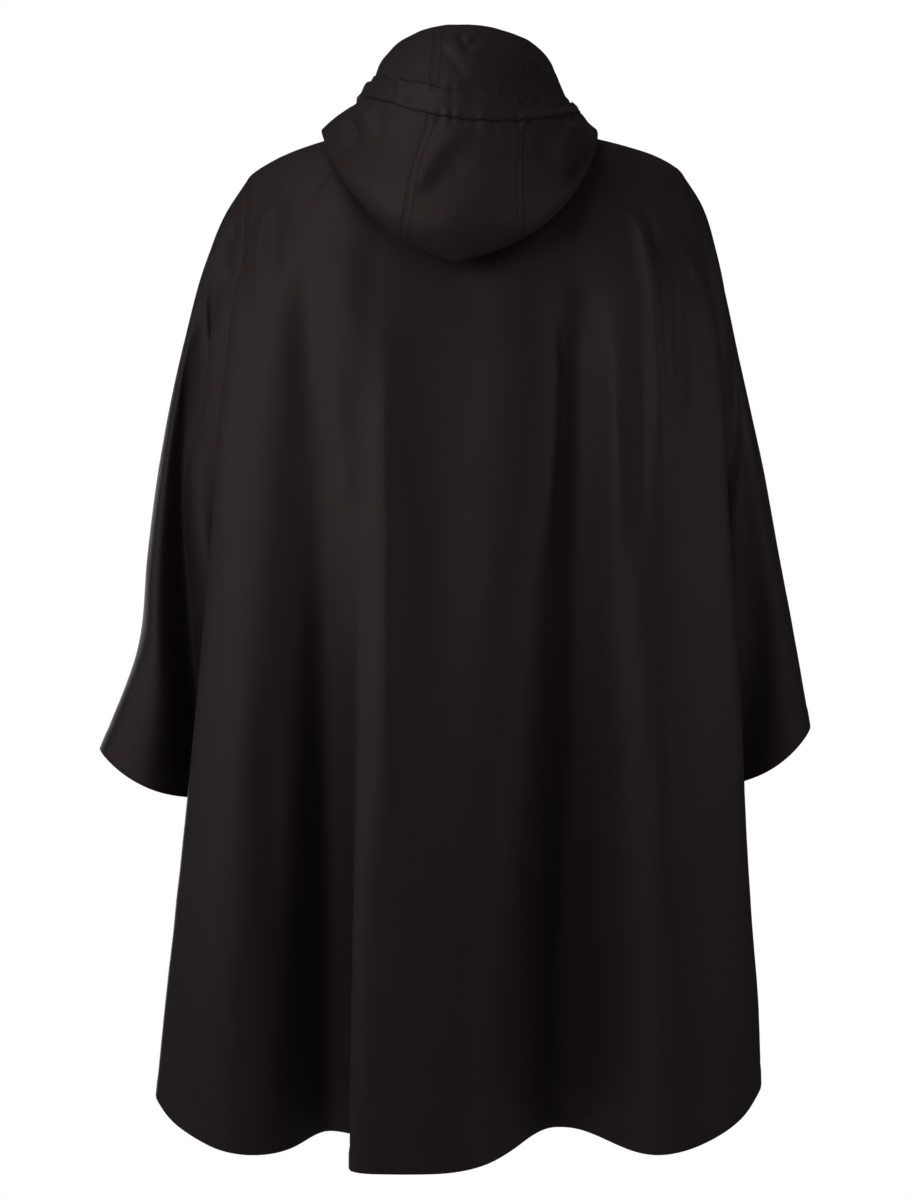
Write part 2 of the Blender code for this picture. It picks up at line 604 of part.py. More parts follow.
def build_channel(grids, normals, collection):
    """The casing: the hood's own points between two rings, moved out."""
    rows = slice(HOOD_CELLS_PER_RING * CHANNEL_RINGS[0], HOOD_CELLS_PER_RING * CHANNEL_RINGS[1] + 1)
    joined = [grids["right"][rows], grids["center"][rows, 1:], grids["left"][rows, 1:]]
    turned = [normals["right"][rows], normals["center"][rows, 1:], normals["left"][rows, 1:]]
    points, across = np.concatenate(joined, axis=1), np.concatenate(turned, axis=1)
    angle = np.degrees(np.arctan2(points[0, :, 0], points[0, :, 1]))
    kept = np.abs(angle) <= CHANNEL_END_ANGLE
    points, across = points[:, kept], across[:, kept]
    lifted = points + across * (0.5 * WALL + SEAM_GAP + 0.5 * CHANNEL_WALL)
    wall_object("hood_channel", lifted, across, collection, thickness=CHANNEL_WALL)


def main():
    for leftover in list(bpy.data.objects):
        bpy.data.objects.remove(leftover, do_unlink=True)
    collection = bpy.data.collections.new("rain_poncho")
    bpy.context.scene.collection.children.link(collection)
    build_body(collection)
    build_hood(collection)


main()
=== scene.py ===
"""A hooded rain poncho in thin cloth: its cut pieces, creases, hems, stitches and materials, and the light.

Each piece of cloth is a thin closed wall on a grid of points. The grids follow tables like those of the
solids, in millimetres, with more cells. The hood's pouch is fuller here and two folds of the back are
deeper, and the creases are too fine for the solids.
The frame: +Z up, the wearer faces -Y, +X is the wearer's left. The origin lies at the base of the neck.
"""

import functools
import math
from dataclasses import dataclass

import bpy
import numpy as np
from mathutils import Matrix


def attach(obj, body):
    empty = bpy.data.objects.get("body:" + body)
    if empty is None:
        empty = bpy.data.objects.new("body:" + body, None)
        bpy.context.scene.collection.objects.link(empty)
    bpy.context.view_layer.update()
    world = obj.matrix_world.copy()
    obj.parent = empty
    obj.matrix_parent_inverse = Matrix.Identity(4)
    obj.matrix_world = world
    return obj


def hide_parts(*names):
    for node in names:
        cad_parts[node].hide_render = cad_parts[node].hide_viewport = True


bl_info = {
    "name": "Rain Poncho",
    "version": (1, 0, 0),
    "blender": (4, 5, 0),
    "location": "View3D > Sidebar > Poncho",
    "description": "Sews a hooded rain poncho with wing sleeves and lights it",
    "category": "Add Mesh",
}

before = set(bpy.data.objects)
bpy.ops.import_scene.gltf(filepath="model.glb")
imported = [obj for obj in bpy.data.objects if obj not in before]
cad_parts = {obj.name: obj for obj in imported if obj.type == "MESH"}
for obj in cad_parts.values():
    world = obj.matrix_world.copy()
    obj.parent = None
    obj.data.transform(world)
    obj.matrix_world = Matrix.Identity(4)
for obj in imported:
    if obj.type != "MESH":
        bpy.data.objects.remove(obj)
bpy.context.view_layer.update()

MM = 0.001

# --- driving dimensions, in millimetres
SEAM_GAP = 0.03  # between two pieces at a seam
NECK_HALF = 105.0  # half the width of the neck opening
NECK_BACK, NECK_FRONT = 86.0, -98.0  # where the neck seam crosses the centre line
SHOULDER_CROWN = 9.0  # how far each shoulder seam bows up over the shoulder
SHOULDER_SQUARE = 0.6  # below 1 the bow lies nearer the sleeve
SHOULDER_Y = -5.0  # the shoulder seams and side seams lie near the middle of the depth

# How many cells each stretch of a piece is divided into
SHOULDER_CELLS = 46
NECK_CELLS = {"back": 104, "front": 70}
YOKE_CELLS, ARMHOLE_CELLS, SIDE_CELLS = 44, 104, 118
LOBE_SHARE = 0.118  # share of a panel's columns between a side seam and the lobe beside it
SLEEVE_CELLS = 112
HOOD_CENTER_CELLS, HOOD_SIDE_CELLS = 42, 104
HOOD_CELLS_PER_RING = 12
SECTION_SAMPLES = 801  # points on the fine curve from which each level's columns are read

# --- body tables, in millimetres
SIGN = {"back": 1.0, "front": -1.0}  # the side of Y that each face lies on

# Where each shoulder seam ends and the sleeve begins.
SHOULDER_POINT = {"left": (224, -25), "right": (-239, -19)}

# The armhole under the yoke, down to the point where the underarm meets the side seam: z, x and y.
ARMHOLE = {
    "left": ((-190, 230, 74), (-250, 239, 78), (-320, 233, 66), (-390, 219, 38), (-450, 204, 0)),
    "right": ((-190, -267, 72), (-250, -271, 78), (-320, -262, 68), (-390, -243, 40), (-450, -222, 0)),
}

# The side seam from there to the hem: z and x.
SIDE_SEAM = {
    "left": ((-450, 204), (-560, 208), (-690, 220), (-850, 238), (-985, 255)),
    "right": ((-450, -222), (-560, -226), (-690, -233), (-850, -243), (-975, -252)),
}

# The corner lobes of the body, where the cloth falls in front of and behind each sleeve.
LOBE_COLUMNS = ("z", "left_x", "right_x", "back_y", "front_y")
LOBES = (
    (-190, 236, -268, 94, -92),
    (-260, 241, -273, 104, -100),
    (-370, 249, -279, 110, -105),
    (-450, 255, -284, 112, -106),
    (-560, 266, -291, 114, -108),
    (-690, 281, -297, 114, -110),
    (-850, 299, -309, 112, -110),
    (-1000, 313, -314, 110, -110),
)

# How far the body stands out behind and in front at its centre line.
DEPTH_COLUMNS = ("z", "back_y", "front_y")
DEPTHS = (
    (-175, 148, -138),
    (-300, 157, -150),
    (-450, 164, -158),
    (-650, 172, -165),
    (-850, 178, -172),
    (-1050, 184, -178),
)

# From a seam to the lobe the cloth first runs nearly straight back: shares of the way in X and in Y.
BEND = (0, 0.5)
# From the lobe to the centre line: share of the lobe's X, and of the way from its Y to the full depth.
ROUNDING = ((1, 0), (0.88, 0.52), (0.66, 0.86), (0.34, 0.985), (0, 1))

# The centre line of a panel: its height under the yoke, level with the underarm, and at the hem. The
# middle one is reached at this share of the rows.
YOKE_Z, UNDERARM_Z, UNDERARM_AT = -175, -450, 0.32
HEM_Z = {"back": -1038.5, "front": -1012.0}
HEM_SIDE_Z = {"left": -969, "right": -936.0}
HEM_RISE_SHARE = 0.32  # share of the hem, at each end, over which it rises to the side seam
HEM_CORNER_RISE, HEM_CORNER_SHARE = 12, 0.022  # the hem rounds up at the outer corner of each lobe
HEM_CORNER_LAST = 5.0  # the rounding fades in over the last fifth of the rows
HEM_FOLLOWS_FOLDS = 0.26  # a fold that stands out hangs this much lower
HEM_FOLLOWS_FROM, HEM_FOLLOWS_OVER = -500, 500  # and does so below this height, over this length

# The direction in which the cloth leaves the shoulder seam and the neckline, outward and down, and the
# share of the shoulder's columns past which the second takes over from the first.
SHOULDER_LEAVES, NECK_LEAVES = (1, -0.18), (0.62, -0.78)
LEAVES_CHANGE_AT, LEAVES_CHANGE_OVER = 0.8, 0.9

FOLD_BEGINS_OVER = 120  # each fold fades in over this height, round the height where it starts
FOLDS_STOP_AT = 0.16  # the folds die out over this share of the panel beside each seam

# The large folds that hang from the shoulders. x and z place the middle line; "toward_left" and
# "toward_right" are the half widths; "out" is how far the cloth stands out (or in) at the lower end;
# "boxy" is 2 for a round fold, and more for one with a flatter top or bottom and steeper sides.
FOLD_COLUMNS = (
    "start_z", "full_z", "start_x", "middle_x", "end_x",
    "start_width", "toward_left", "toward_right", "start_out", "out", "boxy",
)
FOLDS = {
    "back": {
        "left_lobe_swell": (-250, -900, 228, 230, 234, 36, 34, 50, 4, 8, 2),
        "left_slope": (-180, -1000, 154, 156, 163, 26, 42, 38, -7, -27, 2),
        "left_valley": (-280, -1000, 138, 128, 126, 20, 36, 19, 0, -66, 2.4),
        "middle_swell": (-180, -1000, 74, 73, 79, 22, 29, 92, 5, 29, 2),
        "centre_swell": (-130, -1000, -54, -28, 0, 34, 50, 58, 5, 12, 2),
        "right_valley": (-160, -1000, -120, -116, -107, 30, 56, 67, -23, -90, 2.2),
        "right_crest": (-150, -1000, -200, -206, -212, 30, 30, 50, 5, 3, 2),
    },
    "front": {
        "left_crest": (-160, -1000, 190, 196, 205, 34, 50, 44, -3, 14, 2),
        "left_valley": (-260, -1000, 118, 124, 132, 30, 46, 44, 0, -34, 2.4),
        "middle_swell": (-240, -1000, 20, 22, 26, 50, 66, 60, 0, 24, 2),
        "right_valley": (-300, -1000, -82, -84, -88, 30, 40, 48, 0, -32, 2.6),
        "right_crest": (-160, -1000, -178, -186, -198, 34, 44, 50, -3, 14, 2),
    },
}

# Sharp edges where the cloth of one fold laps over the next: the line of the edge, how wide the lap is
# to each side, and how far the cloth slides over itself at the hem.
LAP_COLUMNS = ("start_x", "start_z", "end_x", "end_z", "width", "slide")
LAPS = {
    "back": {"middle lap": (102, -230, 103, -1000, 15, 14)},
    "front": {"left lap": (92, -330, 104, -1000, 15, 7.5)},
}

# --- sleeve tables, in millimetres
# Stations from the armhole to the cuff. The ridge is the line over the arm, the under line the one below
# it; back and front are how far the sleeve stands out to each side; groove is a long fold in its back.
# "bow" is how far its sides belly out of the straight plane through the ridge and the under line.
SLEEVE_COLUMNS = (
    "ridge_x", "ridge_z", "ridge_y", "under_x", "under_z", "under_y", "back", "front", "groove", "bow",
    "groove_at", "groove_width",
)
SLEEVES = {
    "left": (
        (242.5, -56, -5.5, 210, -462, 0, 66, -66, 4, 38, 0.280, 0.070),
        (262, -100, -6, 216, -478, 0, 60, -62, 10, 36, 0.280, 0.070),
        (292, -207, -8, 224, -520, -2, 66, -67, 34, 28, 0.260, 0.075),
        (314, -313, -9, 229, -562, -3, 69, -70, 50, 20, 0.235, 0.080),
        (329, -420, -10, 235, -605, -4, 66, -68, 54, 16, 0.205, 0.080),
        (339, -520, -11, 240, -646, -5, 64, -66, 52, 14, 0.175, 0.080),
        (381, -630, -12, 245, -684, -6, 66, -68, 40, 16, 0.140, 0.080),
    ),
    "right": (
        (-257, -50, -5.5, -228, -462, 0, 66, -66, 3, 37, 0.27, 0.085),
        (-270.5, -100, -6, -234, -478, 0, 60, -62, 6, 34, 0.27, 0.085),
        (-296, -207, -8, -240, -518, -2, 66, -67, 10, 26, 0.27, 0.085),
        (-320, -313, -9, -244, -556, -3, 69, -70, 13, 18, 0.26, 0.085),
        (-341, -420, -10, -249, -596, -4, 66, -68, 16, 16, 0.24, 0.085),
        (-360, -520, -11, -254, -636, -5, 64, -66, 18, 14, 0.21, 0.085),
        (-375, -606, -12, -258, -672, -6, 62, -66, 16, 16, 0.18, 0.085),
    ),
}
SLEEVE_POINTED, SLEEVE_POINTED_UNDER = 1.05, 0.3  # over 1 makes the ridge and the under line sharper

# --- hood table, in millimetres
# Rings from the neck seam, over the roll, down inside the pouch, round its fold and up to the free edge.
# "wide" is half the width at the sides, where the ring lies at side_y and side_z.
HOOD_COLUMNS = (
    "back_y", "back_z", "left_wide", "right_wide", "side_y", "side_z", "throat_y", "throat_z",
    "last_angle", "left_seam", "right_seam", "left_peak", "right_peak", "tip", "tilt",
)
HOOD = {
    "neck seam": (
        NECK_BACK, 12, NECK_HALF, NECK_HALF, SHOULDER_Y, 28, NECK_FRONT, -45, 180, 30, -30, 2, 2, 0, 0,
    ),
    "stand": (90, 30, 107, 107, -5, 41, -99.5, -41, 179, 30, -30, 2, 2, 0, 0),
    "roll": (103, 32, 114, 115, 0, 43, -101, -37.5, 178.5, 30, -29, 2, 2, 0, 0),
    "inner middle": (130, -22, 122, 125, 8, 35, -102.5, -34, 178, 29, -28, 1.9, 1.8, 0, 0),
    "inner low": (156, -92, 131, 134, 18, 27, -104, -30.5, 177, 26, -27, 1.7, 1.5, 3, 0),
    "fold": (180, -124, 139.5, 143, 26, 23, -105.5, -27, 176.5, 24.5, -27, 1.4, 1.12, 8, 0),
    "outer low": (199, -97, 142.5, 147, 25, 24, -106.5, -24, 176, 22.5, -27, 1.4, 1.12, 5, 1),
    "outer middle": (196, -40, 130, 137, 14, 34.5, -107.5, -21, 175.5, 20, -29, 1.6, 1.3, 0, 5),
    "channel low": (178, 13, 107.5, 130, 3, 46.5, -108, -18, 175, 16, -32.5, 1.9, 1.7, 0, 13),
    "channel high": (160, 43, 98, 121.5, -4, 58, -108.5, -15.5, 174.5, 17, -35.5, 1.9, 1.9, 0, 23),
    "brim": (122, 94, 89, 111.5, -10, 68, -109, -13, 174, 16.5, -38, 1.5, 1.1, 0, 9),
    "free edge": (78, 125, 89, 104, -16, 75, -109, -10, 173, 16.5, -40, 1.1, 0.85, 0, 0),
}
FOLD_RING, *CHANNEL_RINGS = (list(HOOD).index(name) for name in ("fold", "channel low", "channel high"))
HOOD_TIP_WIDE, HOOD_TIP_SHARP = 30.0, 1.4  # half width and sharpness of the point at the pouch's bottom
HOOD_SQUARE = 0.86  # below 1 the outer rings run straighter across the back and turn at the sides
HOOD_SQUARE_FROM, HOOD_SQUARE_OVER = 3.0, 2.0  # from this ring on, over this many rings, they become so
CHANNEL_END_ANGLE = 95.0  # the casing ends this far round from the back centre
CHANNEL_LIFT = 1.3  # how far the casing lies outside the hood's cloth
FRONT_PEAK = 2.8  # in front the rings stay high over the shoulders and drop late to the throat

# --- creases, in millimetres
# Each crease runs along a short line of (x, z) points, seen from behind on the back of a piece and from
# in front on its front. "out" is how far it stands out (a trough is below 0). "left" and "right" are its
# half widths on either hand for a line that runs down, or below and above it for one that runs from the
# wearer's left to the right. "sharp" goes from 0, rounded, to 1, pressed to an edge. The last two give
# the shares of its length over which it fades in and out.
CREASE_COLUMNS = ("line", "out", "left", "right", "sharp", "fade_in", "fade_out")
CREASES = {
    "back_panel": {
        "left shoulder ridge": (((203, -60), (204, -110), (206, -180)), 5, 9, 8, 0.3, 0.3, 0.5),
        "left shoulder valley": (((190, -45), (190, -95), (186, -150)), -5.5, 9, 9, 0.3, 0.3, 0.5),
        "left drag trough": (((148, -80), (157, -115), (155, -200), (148, -260), (133, -330), (130, -450)),
         -5, 22, 13, 0, 0.25, 0.35),
        "left drag ridge": (((122, -75), (114, -130), (105, -210), (100, -300)), 4.2, 26, 18, 0, 0.3, 0.5),
        "middle ridge": (((76, -170), (74, -260), (71, -400), (71, -760)), 6, 18, 10, 0.2, 0.3, 0.4),
        "valley lip": (((-96, -150), (-97, -240), (-93, -340), (-84, -480)), 8, 26, 6, 0.4, 0.3, 0.5),
        "right sub ridge": (((-160, -170), (-163, -300), (-166, -480)), 5, 9, 8, 0.1, 0.3, 0.4),
        "right sub groove": (((-186, -190), (-187, -300), (-188, -440)), -3, 6, 7, 0.1, 0.3, 0.4),
        "right drag ridge": (((-171, -52), (-188, -92), (-199, -150), (-206, -260), (-208, -420)),
         6, 8, 6, 0.4, 0.15, 0.5),
        "right drag pit": (((-192, -58), (-200, -90), (-207, -130)), -7, 5, 8, 0.5, 0.3, 0.4),
        "right outer groove": (((-224, -130), (-227, -200), (-230, -330)), -4, 7, 8, 0.1, 0.3, 0.5),
        "right second ridge": (((-219, -98), (-236, -122), (-250, -150)), 5, 8, 5, 0.7, 0.3, 0.5),
        "right skirt ridge": (((-204, -520), (-209, -700), (-212, -860)), 2.5, 14, 12, 0, 0.4, 0.5),
        "pressed line": (((168, -204), (30, -207), (-100, -206)), 0.8, 5, 5, 0.3, 0.1, 0.1),
        "left skirt groove": (((196, -520), (190, -700), (186, -900)), -4, 14, 12, 0, 0.4, 0.4),
    },
    "front_panel": {
        "left shoulder ridge": (((196, -60), (199, -120), (204, -200)), 3.6, 10, 8, 0.3, 0.3, 0.5),
        "left shoulder valley": (((176, -50), (180, -105), (182, -190)), -3.8, 9, 10, 0.3, 0.3, 0.5),
        "left chest drag": (((120, -62), (142, -110), (156, -190)), 3.2, 9, 6, 0.6, 0.2, 0.6),
        "right shoulder ridge": (((-205, -62), (-210, -112), (-214, -190)), 4, 8, 9, 0.4, 0.3, 0.5),
        "right shoulder pit": (((-186, -55), (-192, -100), (-196, -165)), -4.4, 8, 8, 0.4, 0.3, 0.4),
        "right chest drag": (((-96, -88), (-120, -130), (-140, -220)), 2.8, 6, 11, 0.5, 0.2, 0.6),
        "throat drag": (((40, -75), (48, -130), (58, -230)), 2.2, 10, 12, 0.2, 0.3, 0.6),
    },
    "sleeve_left": {
        "armhole crease": (((231, -62), (239, -92), (241, -139), (240, -175)), -7, 4.5, 4, 0.5, 0.3, 0.3),
        "outer valley": (((246, -95), (258, -133), (273, -200), (279, -273), (284, -350)),
         -16, 8, 11, 0.2, 0.35, 0.4),
    },
    "sleeve_right": {
        "armhole crease": (((-246, -66), (-258, -110), (-270, -170), (-276, -240)), -5, 4, 5, 0.5, 0.3, 0.3),
    },
    "hood": {
        "centre sweep": (((-16, 6), (2, -9), (24, -32), (40, -58), (46, -78)), 4.2, 22, 9, 0.1, 0.4, 0.4),
        "centre hollow": (((-14, -12), (8, -32), (25, -58), (31, -80)), -4, 10, 27, 0, 0.4, 0.4),
        "left pit": (((114, 36), (108, 12), (100, -14)), -8, 8, 6.5, 0.1, 0.35, 0.45),
        "left pleat": (((98, 42), (92, 14), (86, -18)), 5.4, 6, 8, 0.2, 0.35, 0.45),
        "left second pleat": (((76, 38), (71, 8), (72, -30)), 1.8, 6, 8, 0.2, 0.3, 0.4),
        "left lower fold": (((116, -18), (98, -46), (76, -64)), 2, 8, 8, 0.1, 0.3, 0.4),
        "right diagonal": (((-124, 24), (-108, -6), (-93, -40)), 5.6, 7, 6, 0.4, 0.2, 0.4),
        "right hollow": (((-135, 6), (-122, -22), (-106, -52)), -5.5, 8, 8, 0.1, 0.3, 0.4),
        "right second trough": (((-98, 22), (-88, -8), (-80, -30)), -2.6, 6, 6, 0.2, 0.3, 0.4),
        "dome long line": (((20, 98), (6, 80), (-10, 60)), -2.4, 6, 4, 0.5, 0.2, 0.3),
        "dome left dimple": (((0, 113), (-7, 98), (-10, 86)), -2.6, 4, 4, 0.4, 0.2, 0.3),
        "dome right dimple": (((-20, 110), (-14, 98), (-10, 88)), -2.2, 4, 4, 0.4, 0.2, 0.3),
        "dome side trough": (((-80, 88), (-87, 66), (-91, 48)), -3.2, 5, 4, 0.4, 0.2, 0.3),
        "dome side ridge": (((-92, 84), (-98, 64), (-101, 50)), 2.6, 5, 5, 0.3, 0.2, 0.3),
        "dome left fold": (((58, 96), (66, 78), (70, 66)), 1.8, 8, 6, 0.2, 0.3, 0.3),
    },
}
EDGE_FALL = 1.6  # how quickly a pressed edge falls away beside its line
PANEL_CREASE_FADE, SLEEVE_CREASE_FADE = 14.0, 8.0  # the creases die out over this length beside a seam

# The gathered cord pulls small puckers into the two seams of its casing, more so near its ends.
PUCKER_OUT, PUCKER_RINGS, PUCKER_SIZE, PUCKER_SEED = 3.0, 0.30, (6.0, 30.0, 16.0), 6
PUCKER_LEAST, PUCKER_MORE = 0.55, 0.45  # the share of it at the middle, and what is added by the ends
PUCKER_MIDDLE_X, PUCKER_GROWS_FROM, PUCKER_GROWS_OVER = -6.0, 30.0, 40.0

# Small soft unevenness of the cloth: the size of its cells, how far out, and its seed.
BODY_COCKLES = (((34, 60, 90), 0.7, 3), ((17, 30, 34), 0.25, 4))
HOOD_COCKLES = (((26, 30, 30), 0.6, 5), ((12, 14, 14), 0.45, 7))
NOISE_CELLS = 32  # the noise repeats after this many cells


# --- curves and grids
def named_rows(table, columns):
    """Each labelled row of a table as a dictionary by column."""
    return [dict(zip(columns, row)) for row in table.values()]


def smooth_step(value):
    """0 to 1 with a soft start and a soft end."""
    value = np.clip(value, 0.0, 1.0)
    return value * value * (3.0 - 2.0 * value)


def hermite(share, span, start, leave, end, arrive):
    """A curve read at shares of the way from start to end, with its directions at both."""
    square, cube = share**2, share**3
    return (
        (2.0 * cube - 3.0 * square + 1.0) * start
        + (cube - 2.0 * square + share) * span * leave
        + (3.0 * square - 2.0 * cube) * end
        + (cube - square) * span * arrive
    )


def flow(knots, values, places):
    """A smooth curve through the values, one for each knot, read at the given places."""
    knots = np.asarray(knots, float)
    values = np.asarray(values, float)
    places = np.atleast_1d(np.asarray(places, float))
    if knots[0] > knots[-1]:
        knots, values = knots[::-1], values[::-1]
    slopes = np.gradient(values, knots, axis=0)
    start = np.clip(np.searchsorted(knots, places, side="right") - 1, 0, len(knots) - 2)
    span = knots[start + 1] - knots[start]
    share = np.clip((places - knots[start]) / span, 0.0, 1.0)
    shape = (-1,) + (1,) * (values.ndim - 1)
    share, span = share.reshape(shape), span.reshape(shape)
    return hermite(share, span, values[start], slopes[start], values[start + 1], slopes[start + 1])


def read_at(rows, columns, place, knots=None):
    """The values of a table at a place between its rows, by column; the first column gives the places."""
    values = np.array(rows, float)
    return dict(zip(columns, flow(values[:, 0] if knots is None else knots, values, place)[0]))


def travelled(points, axis=0):
    """The distance along lines of points, from 0 at the start of each."""
    steps = np.linalg.norm(np.diff(points, axis=axis), axis=-1)
    start = np.zeros_like(np.take(steps, [0], axis=axis))
    return np.concatenate((start, np.cumsum(steps, axis=axis)), axis=axis)


def along(points):
    """The distance along a line of points, from 0 to 1."""
    distance = travelled(points)
    return distance / distance[-1]


def unit(vectors):
    """The same directions, each of length 1."""
    return vectors / np.maximum(np.linalg.norm(vectors, axis=-1, keepdims=True), 1e-12)


def grid_normals(grid):
    """The direction across the cloth at each point of a grid."""
    return unit(np.cross(np.gradient(grid, axis=1), np.gradient(grid, axis=0)))


def soft_noise(points, size, seed):
    """Smooth seeded noise from -1 to 1 at points in space, with cells of the given size."""
    place = points / np.asarray(size, float) + 100.0
    cell = np.floor(place).astype(int)
    share = smooth_step(place - cell)
    lattice = np.random.default_rng(seed).uniform(-1.0, 1.0, (NOISE_CELLS,) * 3)
    total = 0.0
    for corner in np.ndindex(2, 2, 2):
        weight = np.prod(np.where(np.array(corner) == 1, share, 1.0 - share), axis=-1)
        at = (cell + corner) % NOISE_CELLS
        total = total + weight * lattice[at[..., 0], at[..., 1], at[..., 2]]
    return total


# --- neck and hood rings
def hood_sizes(place):
    """The measures of the hood at a place between rings."""
    return read_at(tuple(HOOD.values()), HOOD_COLUMNS, place, np.arange(len(HOOD)))


def hood_ring(place, angles):
    """Points of a hood ring. Angle 0 is the back centre, 90 the wearer's left, -90 the right."""
    size = hood_sizes(place)
    cosine, sine = np.cos(np.radians(angles)), np.sin(np.radians(angles))
    behind, on_left = cosine >= 0.0, sine >= 0.0
    wide = np.where(on_left, size["left_wide"], size["right_wide"])
    peak = np.where(behind, np.where(on_left, size["left_peak"], size["right_peak"]), FRONT_PEAK)
    reach = np.where(behind, size["back_y"] - size["side_y"], size["side_y"] - size["throat_y"])
    rise = np.where(behind, size["back_z"] - size["side_z"], size["throat_z"] - size["side_z"])
    square = 1.0 - (1.0 - HOOD_SQUARE) * smooth_step((place - HOOD_SQUARE_FROM) / HOOD_SQUARE_OVER)
    level = np.where(behind, np.maximum(cosine, 0.0) ** square, cosine)
    tip = size["tip"] * np.exp(-np.abs(wide * sine / HOOD_TIP_WIDE) ** HOOD_TIP_SHARP)
    lift = np.where(behind, size["tilt"] * sine * np.sqrt(np.abs(cosine)) - tip, 0.0)
    y = size["side_y"] + reach * level
    z = size["side_z"] + rise * np.maximum(np.abs(cosine), 1e-9) ** peak + lift
    return np.stack((wide * sine, y, z), axis=1)


def hood_grid(piece, places):
    """The points of one hood piece, a row for each place between rings."""
    rows = []
    for place in places:
        size = hood_sizes(place)
        first, final, cells = {
            "left": (size["left_seam"], size["last_angle"], HOOD_SIDE_CELLS),
            "center": (size["right_seam"], size["left_seam"], HOOD_CENTER_CELLS),
            "right": (-size["last_angle"], size["right_seam"], HOOD_SIDE_CELLS),
        }[piece]
        rows.append(hood_ring(place, np.linspace(first, final, cells + 1)))
    return np.stack(rows)


# --- body panels
def top_edge(face):
    """The shoulder seams and the neckline between them, from the wearer's left to the right."""
    neck_angles = np.linspace(90.0, -90.0 if face == "back" else 270.0, NECK_CELLS[face] + 1)
    neckline = hood_ring(0.0, neck_angles)
    shoulders = {}
    for side, end in (("left", neckline[0]), ("right", neckline[-1])):
        x, z = SHOULDER_POINT[side]
        share = np.linspace(0.0, 1.0, SHOULDER_CELLS + 1)[:, None]
        line = (1.0 - share) * np.array((x, SHOULDER_Y, z)) + share * end
        line[:, 2] += SHOULDER_CROWN * np.sin(math.pi * share[:, 0] ** SHOULDER_SQUARE)
        shoulders[side] = line
    return np.concatenate((shoulders["left"][:-1], neckline, shoulders["right"][::-1][1:]))


def side_edge(side, face):
    """The armhole below the yoke and the side seam, a point for each row."""
    z, x, y = np.array(ARMHOLE[side], float).T
    armhole_z = np.linspace(z[0], z[-1], ARMHOLE_CELLS - YOKE_CELLS + 1)
    upper = np.stack((flow(z, x, armhole_z), SIGN[face] * flow(z, y, armhole_z), armhole_z), axis=1)
    z, x = np.array(SIDE_SEAM[side], float).T
    seam_z = np.linspace(z[0], HEM_SIDE_Z[side], SIDE_CELLS + 1)
    lower = np.stack((flow(z, x, seam_z), np.zeros_like(seam_z), seam_z), axis=1)
    return np.concatenate((upper, lower[1:]))


def section(left, right, center_z, face, cells):
    """One level of a body panel, from one edge round both lobes to the other."""
    depth = read_at(DEPTHS, DEPTH_COLUMNS, center_z)[face + "_y"]
    halves = []
    for side, (x, y, z) in (("left", left), ("right", right)):
        lobe = read_at(LOBES, LOBE_COLUMNS, z)
        lobe_x, lobe_y = lobe[side + "_x"], lobe[face + "_y"]
        bend = (x + BEND[0] * (lobe_x - x), y + BEND[1] * (lobe_y - y))
        turn = [(share * lobe_x, lobe_y + way * (depth - lobe_y)) for share, way in ROUNDING]
        halves.append(np.array([(x, y), bend, *turn]))
    corners = np.concatenate((halves[0], halves[1][::-1][1:]))
    fine = flow(along(corners), corners, np.linspace(0.0, 1.0, SECTION_SAMPLES))
    distance = along(fine)
    crests = [distance[np.argmax(fine[:, 0])], distance[np.argmin(fine[:, 0])]]
    knots = (0.0, LOBE_SHARE, 1.0 - LOBE_SHARE, 1.0)
    share = flow(knots, (0.0, *crests, 1.0), np.linspace(0, 1, cells + 1))
    x, y = (np.interp(share, distance, fine[:, axis]) for axis in (0, 1))
    inward = smooth_step(np.minimum(share, 1.0 - share) / HEM_RISE_SHARE)
    edge_z = left[2] + (right[2] - left[2]) * share
    return np.stack((x, y, edge_z + (center_z - edge_z) * inward), axis=1)


def fold_offset(face, x, z):
    """How far the large folds push the cloth out at each point."""
    total = np.zeros_like(x)
    for fold in named_rows(FOLDS[face], FOLD_COLUMNS):
        growth = smooth_step((fold["start_z"] - z) / (fold["start_z"] - fold["full_z"]))
        begin = smooth_step(0.5 + (fold["start_z"] - z) / FOLD_BEGINS_OVER)
        halfway = 0.5 * (fold["start_z"] + fold["full_z"])
        depths = (-fold["start_z"], -halfway, -fold["full_z"])
        middle = np.interp(-z, depths, (fold["start_x"], fold["middle_x"], fold["end_x"]))
        wide = np.where(x > middle, fold["toward_left"], fold["toward_right"])
        width = fold["start_width"] + (wide - fold["start_width"]) * growth
        out = fold["start_out"] + (fold["out"] - fold["start_out"]) * growth
        total += begin * out * np.exp(-(np.abs((x - middle) / width) ** fold["boxy"]))
    return total


